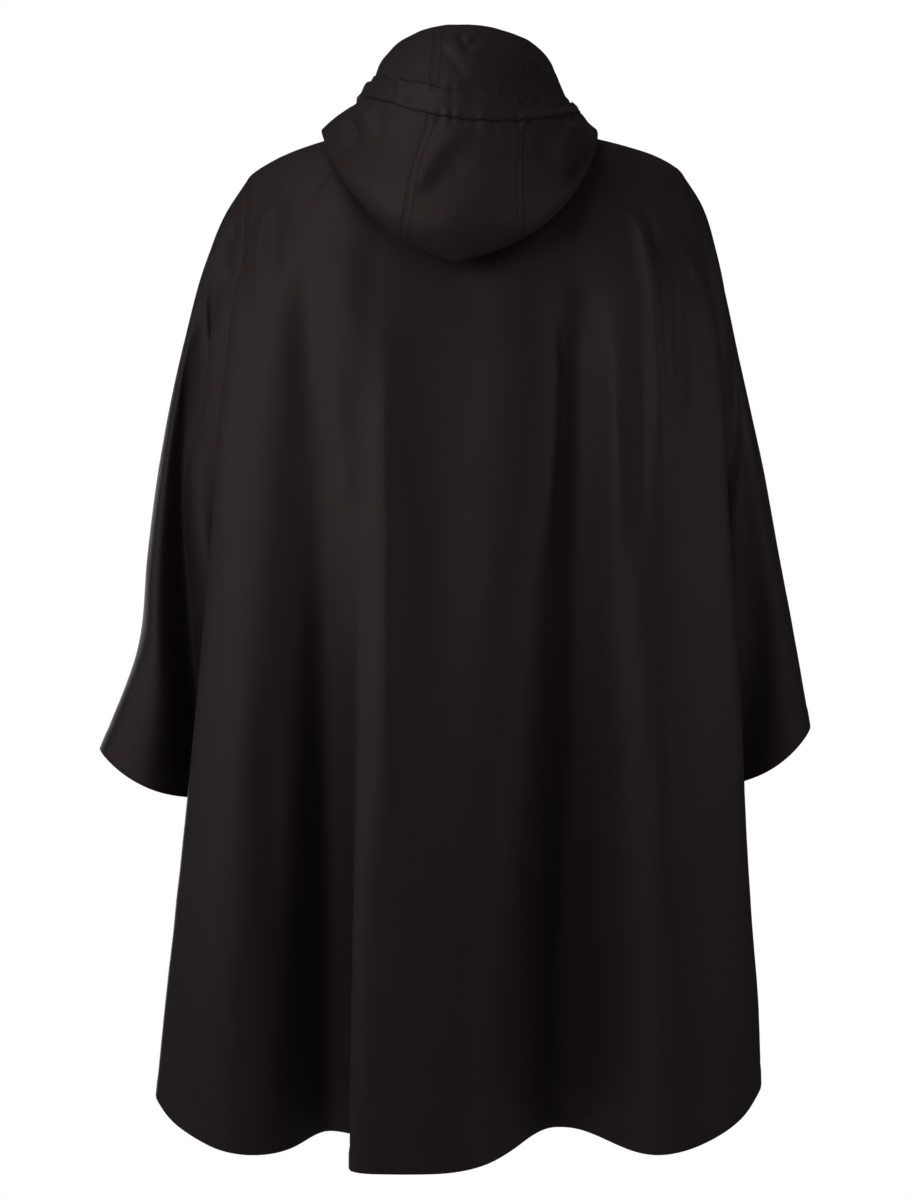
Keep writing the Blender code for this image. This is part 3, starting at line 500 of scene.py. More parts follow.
def body_panel(face):
    """The points of the back or the front, rows from the shoulders to the hem."""
    cells = 2 * SHOULDER_CELLS + NECK_CELLS[face]
    rows = ARMHOLE_CELLS + SIDE_CELLS
    sign = SIGN[face]
    top = top_edge(face)
    left, right = side_edge("left", face), side_edge("right", face)
    under = rows - YOKE_CELLS
    down = np.linspace(0.0, 1.0, under + 1)
    center_z = flow((0.0, UNDERARM_AT, 1.0), (YOKE_Z, UNDERARM_Z, HEM_Z[face]), down)
    hanging = np.stack(
        [section(left[row], right[row], center_z[row], face, cells) for row in range(under + 1)]
    )
    # The yoke: each column leaves the shoulder seam or neckline and comes round into the hanging cloth.
    chest = hanging[0]
    reach = np.linalg.norm(chest - top, axis=1, keepdims=True)
    hang = unit(hanging[1] - hanging[0])
    over = np.minimum(np.arange(cells + 1), np.arange(cells, -1, -1)) / SHOULDER_CELLS
    steep = smooth_step((over - LEAVES_CHANGE_AT) / LEAVES_CHANGE_OVER)[:, None]
    leave = unit((1.0 - steep) * np.array(SHOULDER_LEAVES) + steep * np.array(NECK_LEAVES))
    leave = np.stack((np.zeros(cells + 1), sign * leave[:, 0], leave[:, 1]), axis=1)
    share = np.linspace(0.0, 1.0, YOKE_CELLS + 1)[:-1, None, None]
    yoke = hermite(share, reach, top, leave, chest, hang)
    grid = np.concatenate((yoke, hanging))
    normals = grid_normals(grid)
    normals *= np.sign(normals[rows // 2, cells // 2, 1]) * sign
    # The folds die out at the seams, so that each edge keeps its line.
    share = np.linspace(0.0, 1.0, cells + 1)
    inside = smooth_step(np.minimum(share, 1.0 - share) / FOLDS_STOP_AT)[None, :]
    offset = fold_offset(face, grid[:, :, 0], grid[:, :, 2]) * inside
    grid += normals * offset[:, :, None]
    low = smooth_step((HEM_FOLLOWS_FROM - grid[:, :, 2]) / HEM_FOLLOWS_OVER)
    grid[:, :, 2] -= HEM_FOLLOWS_FOLDS * offset * low
    from_crest = (np.minimum(share, 1.0 - share) - LOBE_SHARE) / HEM_CORNER_SHARE
    near_hem = smooth_step(np.arange(rows + 1) / rows * HEM_CORNER_LAST - (HEM_CORNER_LAST - 1.0))
    grid[:, :, 2] += HEM_CORNER_RISE * near_hem[:, None] * np.exp(-(from_crest**2))
    return lap_over(grid, face)


def lap_over(grid, face):
    """Slide the cloth over itself at the sharp edges of the laps."""
    most = 1.0 / math.sqrt(2.0 * math.e)
    for lap in named_rows(LAPS[face], LAP_COLUMNS):
        x, z = grid[:, :, 0], grid[:, :, 2]
        down = (lap["start_z"] - z) / (lap["start_z"] - lap["end_z"])
        edge = lap["start_x"] + (lap["end_x"] - lap["start_x"]) * np.clip(down, 0.0, 1.0)
        from_edge = (x - edge) / lap["width"]
        grid[:, :, 0] -= lap["slide"] * smooth_step(down) * from_edge * np.exp(-(from_edge**2)) / most
    return grid


# --- sleeves
def sleeve_ring(station, turns):
    """One station of a sleeve. Turn 0 is the underarm, 0.5 the ridge, and between them lies the back."""
    size = dict(zip(SLEEVE_COLUMNS, station))
    ridge = np.array((size["ridge_x"], size["ridge_y"], size["ridge_z"]))
    under = np.array((size["under_x"], size["under_y"], size["under_z"]))
    cosine, sine = np.cos(2.0 * math.pi * turns), np.sin(2.0 * math.pi * turns)
    half = 0.5 * (under - ridge)
    points = 0.5 * (ridge + under) + cosine[:, None] * half
    pointed = SLEEVE_POINTED + SLEEVE_POINTED_UNDER * cosine
    out = np.where(sine >= 0.0, size["back"], -size["front"])
    points[:, 1] += np.sign(sine) * out * np.abs(sine) ** pointed
    across = ridge - under
    belly = np.array((across[2], 0.0, -across[0])) * np.sign(ridge[0]) / np.hypot(across[0], across[2])
    points += (size["bow"] * sine**2)[:, None] * belly
    groove = np.exp(-(((turns - size["groove_at"]) / size["groove_width"]) ** 2))
    points[:, 1] -= size["groove"] * groove
    return points


def sleeve_grid(side, back, front):
    """The points of a sleeve, from the armhole edges of the two body panels to the cuff."""
    edge = 0 if side == "left" else -1
    behind = back[: ARMHOLE_CELLS + 1, edge][::-1]
    before = front[: ARMHOLE_CELLS + 1, edge]
    armhole = np.concatenate((behind, before[1:]))
    turns = np.linspace(0.0, 1.0, 2 * ARMHOLE_CELLS + 1)
    rings = [armhole] + [sleeve_ring(station, turns) for station in SLEEVES[side]]
    knots = along(np.array([ring[ARMHOLE_CELLS] for ring in rings]))
    return flow(knots, np.stack(rings), np.linspace(0.0, 1.0, SLEEVE_CELLS + 1))


# --- creases
def crease_offset(creases, x, z):
    """How far the creases push the cloth out at each point, seen square to X and Z."""
    total = np.zeros_like(x)
    for crease in named_rows(creases, CREASE_COLUMNS):
        line = np.array(crease["line"], float)
        steps = np.diff(line, axis=0)
        lengths = np.linalg.norm(steps, axis=1)
        before = travelled(line)
        nearest = np.full(x.shape, np.inf)
        place, hand = np.zeros_like(x), np.zeros_like(x)
        for start, step, length, done in zip(line[:-1], steps, lengths, before):
            to_x, to_z = x - start[0], z - start[1]
            share = np.clip((to_x * step[0] + to_z * step[1]) / length**2, 0.0, 1.0)
            away = np.hypot(to_x - share * step[0], to_z - share * step[1])
            closer = away < nearest
            nearest = np.where(closer, away, nearest)
            place = np.where(closer, (done + share * length) / before[-1], place)
            hand = np.where(closer, step[0] * to_z - step[1] * to_x, hand)
        width = np.where(hand >= 0.0, crease["left"], crease["right"])
        away = nearest / width
        rounded, edged = np.exp(-(away**2)), np.exp(-EDGE_FALL * away)
        shape = rounded + (edged - rounded) * crease["sharp"]
        fade = smooth_step(place / crease["fade_in"]) * smooth_step((1.0 - place) / crease["fade_out"])
        total += crease["out"] * shape * fade
    return total


def edge_lines(grid, edge):
    """A grid turned so that its rows run inward from the named edge."""
    if edge == "top":
        return grid
    if edge == "bottom":
        return grid[::-1]
    turned = np.swapaxes(grid, 0, 1)
    return turned if edge == "first" else turned[::-1]


def distance_in(grid, edge):
    """How far each point lies from the named edge, along the cloth."""
    distance = travelled(edge_lines(grid, edge))
    if edge in ("bottom", "last"):
        distance = distance[::-1]
    return distance if edge in ("top", "bottom") else np.swapaxes(distance, 0, 1)


@dataclass
class ClothPiece:
    """One cut piece of cloth, in millimetres: its points, and the directions out of its right side."""

    name: str
    grid: np.ndarray
    normals: np.ndarray
    seams: tuple
    closed: bool = False

    def seam_distance(self):
        """How far each point lies from the nearest seam."""
        return np.min([distance_in(self.grid, edge) for edge in self.seams], axis=0)

    def push(self, out):
        """Move each point outward by its own amount."""
        self.grid = self.grid + self.normals * out[:, :, None]

    def has_hem(self):
        """Whether its lower edge is turned up as a hem, not sewn down."""
        return "bottom" not in self.seams


def share_normals(pieces):
    """Give pieces that meet at a seam one direction there, so that their edges lie side by side."""
    points = np.concatenate([piece.grid.reshape(-1, 3) for piece in pieces])
    normals = np.concatenate([piece.normals.reshape(-1, 3) for piece in pieces])
    _, place = np.unique(np.round(points, 2), axis=0, return_inverse=True)
    place = place.ravel()
    sums = np.zeros((place.max() + 1, 3))
    np.add.at(sums, place, normals)
    shared = unit(sums[place])
    start = 0
    for piece in pieces:
        count = piece.grid.shape[0] * piece.grid.shape[1]
        piece.normals = shared[start : start + count].reshape(piece.grid.shape)
        start += count


def crease_piece(piece):
    """Push a piece's creases into the side they are seen on, dying out toward its seams."""
    sign = SIGN["front" if piece.name == "front_panel" else "back"]
    facing = piece.normals[:, :, 1] * sign >= 0.0
    fade = SLEEVE_CREASE_FADE if piece.closed else PANEL_CREASE_FADE
    inside = smooth_step(piece.seam_distance() / fade)
    piece.push(crease_offset(CREASES[piece.name], piece.grid[:, :, 0], piece.grid[:, :, 2]) * inside * facing)


def cockle(pieces, layers):
    """Small soft unevenness, worked out from each point's place, so that it runs on across the seams."""
    for piece in pieces:
        for size, out, seed in layers:
            piece.push(out * soft_noise(piece.grid, size, seed))


def refresh_normals(pieces):
    """Work out the directions again after the points have moved."""
    for piece in pieces:
        fresh = grid_normals(piece.grid)
        if piece.closed:
            joined = unit(fresh[:, 0] + fresh[:, -1])
            fresh[:, 0] = fresh[:, -1] = joined
        piece.normals = fresh * np.sign(np.sum(fresh * piece.normals))
    share_normals(pieces)


def line_directions(line):
    """The direction of a line at each of its points, round the end if it is closed."""
    direction = np.gradient(line, axis=0)
    if np.allclose(line[0], line[-1]):
        direction[0] = direction[-1] = line[1] - line[-2]
    return unit(direction)


def open_seams(piece):
    """Draw the sewn edges of a piece back by half the seam gap."""
    moved = piece.grid.copy()
    for edge in piece.seams:
        lines, target = edge_lines(piece.grid, edge), edge_lines(moved, edge)
        way = lines[1] - lines[0]
        direction = line_directions(lines[0])
        way = way - np.sum(way * direction, axis=1, keepdims=True) * direction
        target[0] += 0.5 * SEAM_GAP * unit(way)
    piece.grid = moved


def neck_directions(line):
    """Level directions straight out from the neck, for the pieces that meet at its seam."""
    return unit(line * np.array((1.0 / NECK_HALF**2, 1.0 / (0.5 * (NECK_BACK - NECK_FRONT)) ** 2, 0.0)))


# A direction that leads out of the right side at the middle of each piece.
OUTWARD = {
    "back_panel": (0, 1, 0), "front_panel": (0, -1, 0), "sleeve_left": (1, 0, 0), "sleeve_right": (-1, 0, 0),
}


@functools.cache
def body_pieces():
    """Back, front and both sleeves, creased and drawn apart at their seams."""
    back, front = body_panel("back"), body_panel("front")
    grids = {"back_panel": back, "front_panel": front}
    for side in ("left", "right"):
        grids["sleeve_" + side] = sleeve_grid(side, back, front)
    pieces = {}
    for name, grid in grids.items():
        closed = name.startswith("sleeve")
        normals = grid_normals(grid)
        middle = normals[grid.shape[0] // 2, grid.shape[1] // 2]
        normals = normals * np.sign(middle @ np.array(OUTWARD[name]))
        seams = ("top",) if closed else ("top", "first", "last")
        pieces[name] = ClothPiece(name, grid, normals, seams, closed)
    every = list(pieces.values())
    refresh_normals(every)
    for piece in every:
        crease_piece(piece)
    refresh_normals(every)
    cockle(every, BODY_COCKLES)
    refresh_normals(every)
    for face in ("back", "front"):
        piece = pieces[face + "_panel"]
        neckline = slice(SHOULDER_CELLS, SHOULDER_CELLS + NECK_CELLS[face] + 1)
        piece.normals[0, neckline] = neck_directions(piece.grid[0, neckline])
    for piece in every:
        open_seams(piece)
    return pieces


def casing_strip(grids):
    """The rows of the hood's three pieces under the casing, side by side, each shared column once."""
    low, high = (HOOD_CELLS_PER_RING * ring for ring in CHANNEL_RINGS)
    rows = slice(low, high + 1)
    return np.concatenate([grids[0][rows], *(grid[rows, 1:] for grid in grids[1:])], axis=1)


@functools.cache
def hood_pieces():
    """The three hood pieces and the casing sewn across them."""
    places = np.linspace(0.0, len(HOOD) - 1.0, HOOD_CELLS_PER_RING * (len(HOOD) - 1) + 1)
    edges = {"left": ("top", "first"), "center": ("top", "first", "last"), "right": ("top", "last")}
    pieces = {}
    for part, seams in edges.items():
        grid = hood_grid(part, places)
        normals = grid_normals(grid)
        middle = normals[HOOD_CELLS_PER_RING * CHANNEL_RINGS[0], normals.shape[1] // 2]
        normals *= np.sign(middle[1] if part == "center" else middle[2])
        pieces[part] = ClothPiece("hood_" + part, grid, normals, seams)
    every = list(pieces.values())
    share_normals(every)
    outer = smooth_step(places - FOLD_RING)[:, None]
    for piece in every:
        offset = crease_offset(CREASES["hood"], piece.grid[:, :, 0], piece.grid[:, :, 2]) * outer
        piece.push(offset * (piece.normals[:, :, 1] > 0.0))
    refresh_normals(every)
    near_casing = sum(np.exp(-(((places - ring) / PUCKER_RINGS) ** 2)) for ring in CHANNEL_RINGS)[:, None]
    for piece in every:
        from_middle = np.abs(piece.grid[:, :, 0] - PUCKER_MIDDLE_X)
        grown = smooth_step((from_middle - PUCKER_GROWS_FROM) / PUCKER_GROWS_OVER)
        stronger = PUCKER_LEAST + PUCKER_MORE * grown
        waves = soft_noise(piece.grid, PUCKER_SIZE, PUCKER_SEED)
        piece.push(PUCKER_OUT * near_casing * stronger * waves)
    cockle(every, HOOD_COCKLES)
    refresh_normals(every)
    strips = [pieces[part] for part in ("right", "center", "left")]
    points = casing_strip([piece.grid for piece in strips])
    across = casing_strip([piece.normals for piece in strips])
    angle = np.degrees(np.arctan2(points[0, :, 0], points[0, :, 1]))
    kept = np.abs(angle) <= CHANNEL_END_ANGLE
    points, across = points[:, kept], across[:, kept]
    for piece in every:
        piece.normals[0] = neck_directions(piece.grid[0])
        open_seams(piece)
    for part, throat, way in (("left", -1, 1.0), ("right", 0, -1.0)):
        pieces[part].grid[0, throat, 0] += 0.5 * SEAM_GAP * way
    pieces["channel"] = ClothPiece("hood_channel", points + CHANNEL_LIFT * across, across, ("top", "bottom"))
    return pieces


# --- meshes
ROUND_STEPS = 4  # points round the turned edge of a hem
HEM_EASES_OVER = 4.0  # the cloth thickens into its hem over this length, in millimetres
SEWN_BULGE = 0.2  # how far a sewn edge rounds out, where a hem's edge has 1
RIM_UV_STEP = 0.0006  # between the points round an edge on the flat cloth, in metres
FAR = 60.0  # distances from a seam or hem are stored up to this many millimetres
SHARP_ANGLE = 66.0  # edges that turn by more degrees than this are shaded as sharp


def cloth_uv(grid):
    """Where each point of a grid lies on the flat cloth, in metres."""
    u, v = travelled(grid, axis=1), travelled(grid, axis=0)
    u = u - u[:, grid.shape[1] // 2][:, None]
    return np.stack((u, v), axis=2) * MM


def add_piece(name, mesh):
    """An object for a mesh, riding on the garment's one body."""
    made = bpy.data.objects.new(name, mesh)
    bpy.context.scene.collection.objects.link(made)
    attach(made, "root")
    return made


def make_cloth(piece, sizes, materials):
    """A thin closed wall on a piece's grid, thicker along its turned hem, with flat-cloth UVs."""
    wall, hem_wall, hem_depth = (value / MM for value in (sizes.wall, sizes.hem_wall, sizes.hem_depth))
    to_free = distance_in(piece.grid, "bottom")
    if piece.has_hem():
        half = 0.5 * (wall + (hem_wall - wall) * smooth_step((hem_depth - to_free) / HEM_EASES_OVER))
    else:
        half = np.full(piece.grid.shape[:2], 0.5 * wall)
    outer = piece.grid + piece.normals * half[:, :, None]
    inner = piece.grid - piece.normals * half[:, :, None]
    last, normal, radius = piece.grid[-1], piece.normals[-1], half[-1][:, None]
    onward = last - piece.grid[-2]
    onward = unit(onward - np.sum(onward * normal, axis=1, keepdims=True) * normal)
    turns = np.radians(np.linspace(0.0, 180.0, ROUND_STEPS + 2)[1:-1])
    bulge = 1.0 if piece.has_hem() else SEWN_BULGE
    rim = [last + radius * (math.cos(turn) * normal + bulge * math.sin(turn) * onward) for turn in turns]
    band = np.concatenate((outer, rim, inner[::-1])) * MM

    flat = cloth_uv(piece.grid)
    end = flat[-1]
    step = np.array((0.0, RIM_UV_STEP))
    rim_uv = [end + step * (count + 1) for count in range(ROUND_STEPS)]
    back_uv = flat[::-1].copy()
    back_uv[:, :, 1] = 2.0 * end[None, :, 1] - back_uv[:, :, 1] + step[1] * (ROUND_STEPS + 1)
    band_uv = np.concatenate((flat, rim_uv, back_uv, back_uv[-1:] + step * 2.0))

    from_seam = piece.seam_distance()
    from_hem = to_free if piece.has_hem() else np.full_like(to_free, FAR)
    rims = np.zeros((ROUND_STEPS, piece.grid.shape[1]))
    seam_values = np.concatenate((from_seam, rims + from_seam[-1], from_seam[::-1]))
    hem_values = np.concatenate((from_hem, rims, from_hem[::-1]))

    if piece.closed:
        band, seam_values, hem_values = band[:, :-1], seam_values[:, :-1], hem_values[:, :-1]
    rows, columns = band.shape[:2]
    around = np.arange(columns if piece.closed else columns - 1)
    row, col = (index.ravel() for index in np.meshgrid(np.arange(rows), around, indexing="ij"))
    corners = [(row, col), (row, col + 1), (row + 1, col + 1), (row + 1, col)]
    faces = np.stack([(r % rows) * columns + c % columns for r, c in corners], axis=1)
    face_uv = np.stack([band_uv[r, c] for r, c in corners], axis=1)
    inside = (row >= piece.grid.shape[0] + ROUND_STEPS // 2).astype(int)
    if not piece.closed:
        ends_r = np.arange(rows // 2 - 1)
        for at, flip in ((0, False), (columns - 1, True)):
            order = [ends_r, ends_r + 1, rows - 2 - ends_r, rows - 1 - ends_r]
            order = order[::-1] if flip else order
            faces = np.concatenate((faces, np.stack([r * columns + at for r in order], axis=1)))
            face_uv = np.concatenate((face_uv, np.stack([band_uv[r, at] for r in order], axis=1)))
            inside = np.concatenate((inside, np.zeros(len(ends_r), int)))
    vertices = band.reshape(-1, 3)
    middle = faces[len(faces) // 6]
    facing = np.cross(vertices[middle[1]] - vertices[middle[0]], vertices[middle[3]] - vertices[middle[0]])
    if facing @ piece.normals.reshape(-1, 3)[min(middle[0], piece.normals.size // 3 - 1)] < 0.0:
        faces, face_uv = faces[:, ::-1], face_uv[:, ::-1]

    name = piece.name + "_cloth"
    mesh = bpy.data.meshes.new(name)
    mesh.from_pydata(vertices.tolist(), [], faces.tolist())
    layer = mesh.uv_layers.new(name="flat_cloth")
    layer.uv.foreach_set("vector", face_uv.reshape(-1))
    for label, values in (("from_seam", seam_values), ("from_hem", hem_values)):
        attribute = mesh.attributes.new(label, "FLOAT", "POINT")
        attribute.data.foreach_set("value", np.minimum(values, FAR).ravel())
    for material in materials:
        mesh.materials.append(material)
    mesh.polygons.foreach_set("material_index", inside)
    mesh.shade_smooth()
    mesh.set_sharp_from_angle(angle=math.radians(SHARP_ANGLE))
    mesh.update()
    made = add_piece(name, mesh)
    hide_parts(piece.name)
    return made


# --- stitches
# Rows of stitches on each piece: the edge that each runs along and how far in from it, in millimetres.
HEM_ROW, HOOD_EDGE_ROW, SEAM_ROW, BODY_SECOND_ROW, HOOD_SECOND_ROW = 18.0, 20.0, 1.8, 8.0, 9.0
PANEL_ROWS, HOOD_CENTER_ROWS = (
    [(edge, inward) for edge in ("first", "last") for inward in (SEAM_ROW, second)]
    for second in (BODY_SECOND_ROW, HOOD_SECOND_ROW)
)
STITCH_ROWS = {
    "back_panel": [("bottom", HEM_ROW), *PANEL_ROWS],
    "front_panel": [("bottom", HEM_ROW), *PANEL_ROWS],
    "sleeve_left": [("bottom", HEM_ROW)],
    "sleeve_right": [("bottom", HEM_ROW)],
    "hood_center": [*HOOD_CENTER_ROWS, ("bottom", HOOD_EDGE_ROW)],
    "hood_left": [("bottom", HOOD_EDGE_ROW)],
    "hood_right": [("bottom", HOOD_EDGE_ROW)],
    "hood_channel": [("top", SEAM_ROW), ("bottom", SEAM_ROW)],
}
# One stitch: places along its length with the share of its thickness there, the points round it, and how
# far it is lifted off the cloth, as a share of its thickness.
THREAD_PROFILE, THREAD_SIDES, THREAD_LIFT = ((-0.5, 0.0), (-0.36, 1.0), (0.36, 1.0), (0.5, 0.0)), 5, 0.22


def stitch_line(piece, edge, inward, wall):
    """The points of a row of stitches on the right side, and the directions out of the cloth there."""
    lines, normals = edge_lines(piece.grid, edge), edge_lines(piece.normals, edge)
    distance = edge_lines(distance_in(piece.grid, edge), edge)
    start = np.clip(np.sum(distance < inward, axis=0) - 1, 0, len(lines) - 2)
    at = np.arange(lines.shape[1])
    span = distance[start + 1, at] - distance[start, at]
    share = ((inward - distance[start, at]) / np.maximum(span, 1e-9))[:, None]
    points = lines[start, at] + share * (lines[start + 1, at] - lines[start, at])
    across = unit(normals[start, at] + share * (normals[start + 1, at] - normals[start, at]))
    return points + 0.5 * wall * across, across


def read_along(distance, points, places):
    """Points or directions read at distances along a line."""
    return np.stack([np.interp(places, distance, points[:, axis]) for axis in range(3)], axis=1)


def thread_mesh(lines, sizes):
    """Short threads lying end to end along the lines, as one list of points and faces."""
    length, gap, thick = (value / MM for value in (sizes.stitch, sizes.gap, sizes.thread))
    sides = THREAD_SIDES
    last = 2 * sides + 1
    shape = []
    for turn in range(sides):
        after = (turn + 1) % sides
        shape.append((0, 1 + after, 1 + turn))
        shape.append((1 + turn, 1 + after, 1 + sides + after, 1 + sides + turn))
        shape.append((1 + sides + turn, 1 + sides + after, last))
    vertices, faces = [], []
    for points, across in lines:
        distance = travelled(points)
        count = int(distance[-1] // (length + gap))
        centres = (np.arange(count) + 0.5) * distance[-1] / max(count, 1)
        back, front = (read_along(distance, points, centres + way * length) for way in (-0.5, 0.5))
        up = unit(read_along(distance, across, centres))
        middle, way = 0.5 * (back + front), unit(front - back)
        side_way = np.cross(way, up)
        rings = []
        for place, wide in THREAD_PROFILE:
            out, lift = 0.5 * thick * wide, THREAD_LIFT * thick * wide
            for turn in range(sides if wide else 1):
                angle = 2.0 * math.pi * turn / sides
                rings.append(
                    middle + place * length * way
                    + (out * math.cos(angle) + lift) * up + out * math.sin(angle) * side_way
                )
        first = len(vertices)
        vertices.extend(np.stack(rings, axis=1).reshape(-1, 3).tolist())
        for base in range(first, len(vertices), last + 1):
            faces.extend([base + number for number in face] for face in shape)
    return np.array(vertices) * MM, faces


def sew(piece, sizes, wall, material):
    """All the rows of stitches on a piece of cloth, as one object. On the body they stop at the underarm."""
    lines = []
    for edge, inward in STITCH_ROWS[piece.name]:
        points, across = stitch_line(piece, edge, inward, wall)
        if piece.name.endswith("_panel") and edge in ("first", "last"):
            points, across = points[: ARMHOLE_CELLS + 1], across[: ARMHOLE_CELLS + 1]
        lines.append((points, across))
    vertices, faces = thread_mesh(lines, sizes)
    mesh = bpy.data.meshes.new(piece.name + "_stitches")
    mesh.from_pydata(vertices.tolist(), [], faces)
    mesh.materials.append(material)
    mesh.shade_smooth()
    return add_piece(piece.name + "_stitches", mesh)


# --- materials
BLOTCH_SCALE, GRAIN_SCALE, PUCKER_SCALE, FIBRE_SCALE = 22.0, 420.0, 95.0, 2600.0  # sizes of the noises
BLOTCH_SHARE, GRAIN_SHARE = 0.6, 0.4  # how much of each goes into the colour
CLOTH_SPREAD, THREAD_SPREAD, ROUGHNESS_SPREAD = 0.14, 0.3, 0.08  # how much colour and roughness vary
PUCKER_RELIEF, PUCKER_HEIGHT = 0.0008, 0.5  # depth of the relief by seams, in metres; share for its puckers
# Where the puckers lie from the edge and how wide they run, in millimetres, and how strong by the hem.
SEAM_PUCKERS, HEM_PUCKERS, HEM_PUCKERS_SHARE = (4.5, 6.0), (18.0, 5.0), 0.3
# Lines pressed into the cloth: the edge, how far from it, half the width, in millimetres, and the depth.
PRESSED_LINES = (
    ("from_seam", 0.0, 1.2, 0.9), ("from_seam", 1.8, 0.5, 0.18), ("from_seam", 8.4, 0.6, 0.18),
    ("from_hem", 18.0, 0.6, 0.08),
)


def new_material(name):
    """A new material, its node tree and its shader."""
    material = bpy.data.materials.new(name)
    material.use_nodes = True
    return material, material.node_tree, material.node_tree.nodes["Principled BSDF"]


def feed(tree, node, inputs):
    """Set each input of a node to a value, or link it to the socket that feeds it."""
    for name, value in inputs.items():
        if isinstance(value, bpy.types.NodeSocket):
            tree.links.new(value, node.inputs[name])
        else:
            node.inputs[name].default_value = value


def add_node(tree, kind, inputs=None, **settings):
    """A shader node with its settings and inputs."""
    made = tree.nodes.new("ShaderNode" + kind)
    for name, value in settings.items():
        setattr(made, name, value)
    feed(tree, made, inputs or {})
    return made


def noise(tree, vector, scale, detail=2.0):
    """The strength of a noise pattern."""
    inputs = {"Vector": vector, "Scale": scale, "Detail": detail}
    return add_node(tree, "TexNoise", inputs).outputs["Fac"]


def varied(tree, colour, spread, strength):
    """A colour that goes from darker to lighter than its own by the given share."""
    dark, light = ([part * (1.0 + way * spread) for part in colour[:3]] + [1.0] for way in (-1.0, 1.0))
    return add_node(tree, "Mix", {0: strength, 6: dark, 7: light}, data_type="RGBA").outputs[2]


def cloth_material(sizes, inside=False):
    """Near-black coated cloth: fine weave, soft satin, and relief along its seams and hems."""
    material, tree, shader = new_material("rain_coating" if inside else "rain_cloth")

    def calc(operation, *values):
        """The result of a Math node."""
        return add_node(tree, "Math", dict(enumerate(values)), operation=operation).outputs[0]

    def near(distance, at, width):
        """1 on a line at the given distance from an edge, falling off to 0 on both sides."""
        away = calc("DIVIDE", calc("SUBTRACT", distance, at), width)
        return calc("EXPONENT", calc("MULTIPLY", calc("MULTIPLY", away, away), -1.0))

    flat = add_node(tree, "UVMap", uv_map="flat_cloth").outputs[0]
    space = add_node(tree, "TexCoord").outputs["Object"]
    edges = {
        name: add_node(tree, "Attribute", attribute_name=name).outputs["Fac"]
        for name in ("from_seam", "from_hem")
    }
    on_cloth = add_node(tree, "SeparateXYZ", {0: flat})
    threads = 2.0 * math.pi / sizes.weave
    warp, weft = (calc("SINE", calc("MULTIPLY", on_cloth.outputs[axis], threads)) for axis in (0, 1))
    blotch, grain = noise(tree, space, BLOTCH_SCALE, 4.0), noise(tree, flat, GRAIN_SCALE)
    puckers = noise(tree, space, PUCKER_SCALE, 1.0)

    near_seam = near(edges["from_seam"], *SEAM_PUCKERS)
    near_hem = calc("MULTIPLY", near(edges["from_hem"], *HEM_PUCKERS), HEM_PUCKERS_SHARE)
    relief = calc("MULTIPLY", calc("ADD", near_seam, near_hem), calc("MULTIPLY", puckers, PUCKER_HEIGHT))
    for edge, at, width, depth in PRESSED_LINES:
        relief = calc("SUBTRACT", relief, calc("MULTIPLY", near(edges[edge], at, width), depth))
    weave = {"Strength": 1.0, "Distance": sizes.weave_relief, "Height": calc("MULTIPLY", warp, weft)}
    sewn = {"Strength": 1.0, "Distance": PUCKER_RELIEF, "Height": relief}
    sewn["Normal"] = add_node(tree, "Bump", weave).outputs[0]

    mixed = calc("ADD", calc("MULTIPLY", blotch, BLOTCH_SHARE), calc("MULTIPLY", grain, GRAIN_SHARE))
    rough = (sizes.inside_roughness if inside else sizes.roughness) - 0.5 * ROUGHNESS_SPREAD
    feed(tree, shader, {
        "Base Color": varied(tree, sizes.inside_colour if inside else sizes.colour, CLOTH_SPREAD, mixed),
        "Roughness": calc("ADD", rough, calc("MULTIPLY", blotch, ROUGHNESS_SPREAD)),
        "Sheen Weight": 0.0 if inside else sizes.sheen,
        "Sheen Roughness": 0.5,
        "Sheen Tint": sizes.tint,
        "Specular IOR Level": sizes.gloss,
        "Specular Tint": sizes.tint,
        "Normal": add_node(tree, "Bump", sewn).outputs[0],
    })
    return material


def thread_material(sizes):
    """Spun sewing thread, duller and a little darker than the cloth."""
    material, tree, shader = new_material("sewing_thread")
    fibres = noise(tree, add_node(tree, "TexCoord").outputs["Object"], FIBRE_SCALE)
    colour = varied(tree, sizes.thread_colour, THREAD_SPREAD, fibres)
    feed(tree, shader, {"Base Color": colour, "Roughness": 0.6, "Specular IOR Level": 0.15})
    return material


# --- settings
Length = functools.partial(bpy.props.FloatProperty, unit="LENGTH")
Share = functools.partial(bpy.props.FloatProperty, subtype="FACTOR", min=0.0, max=1.0)
Power = functools.partial(bpy.props.FloatProperty, unit="POWER")
Colour = functools.partial(bpy.props.FloatVectorProperty, subtype="COLOR", size=4)


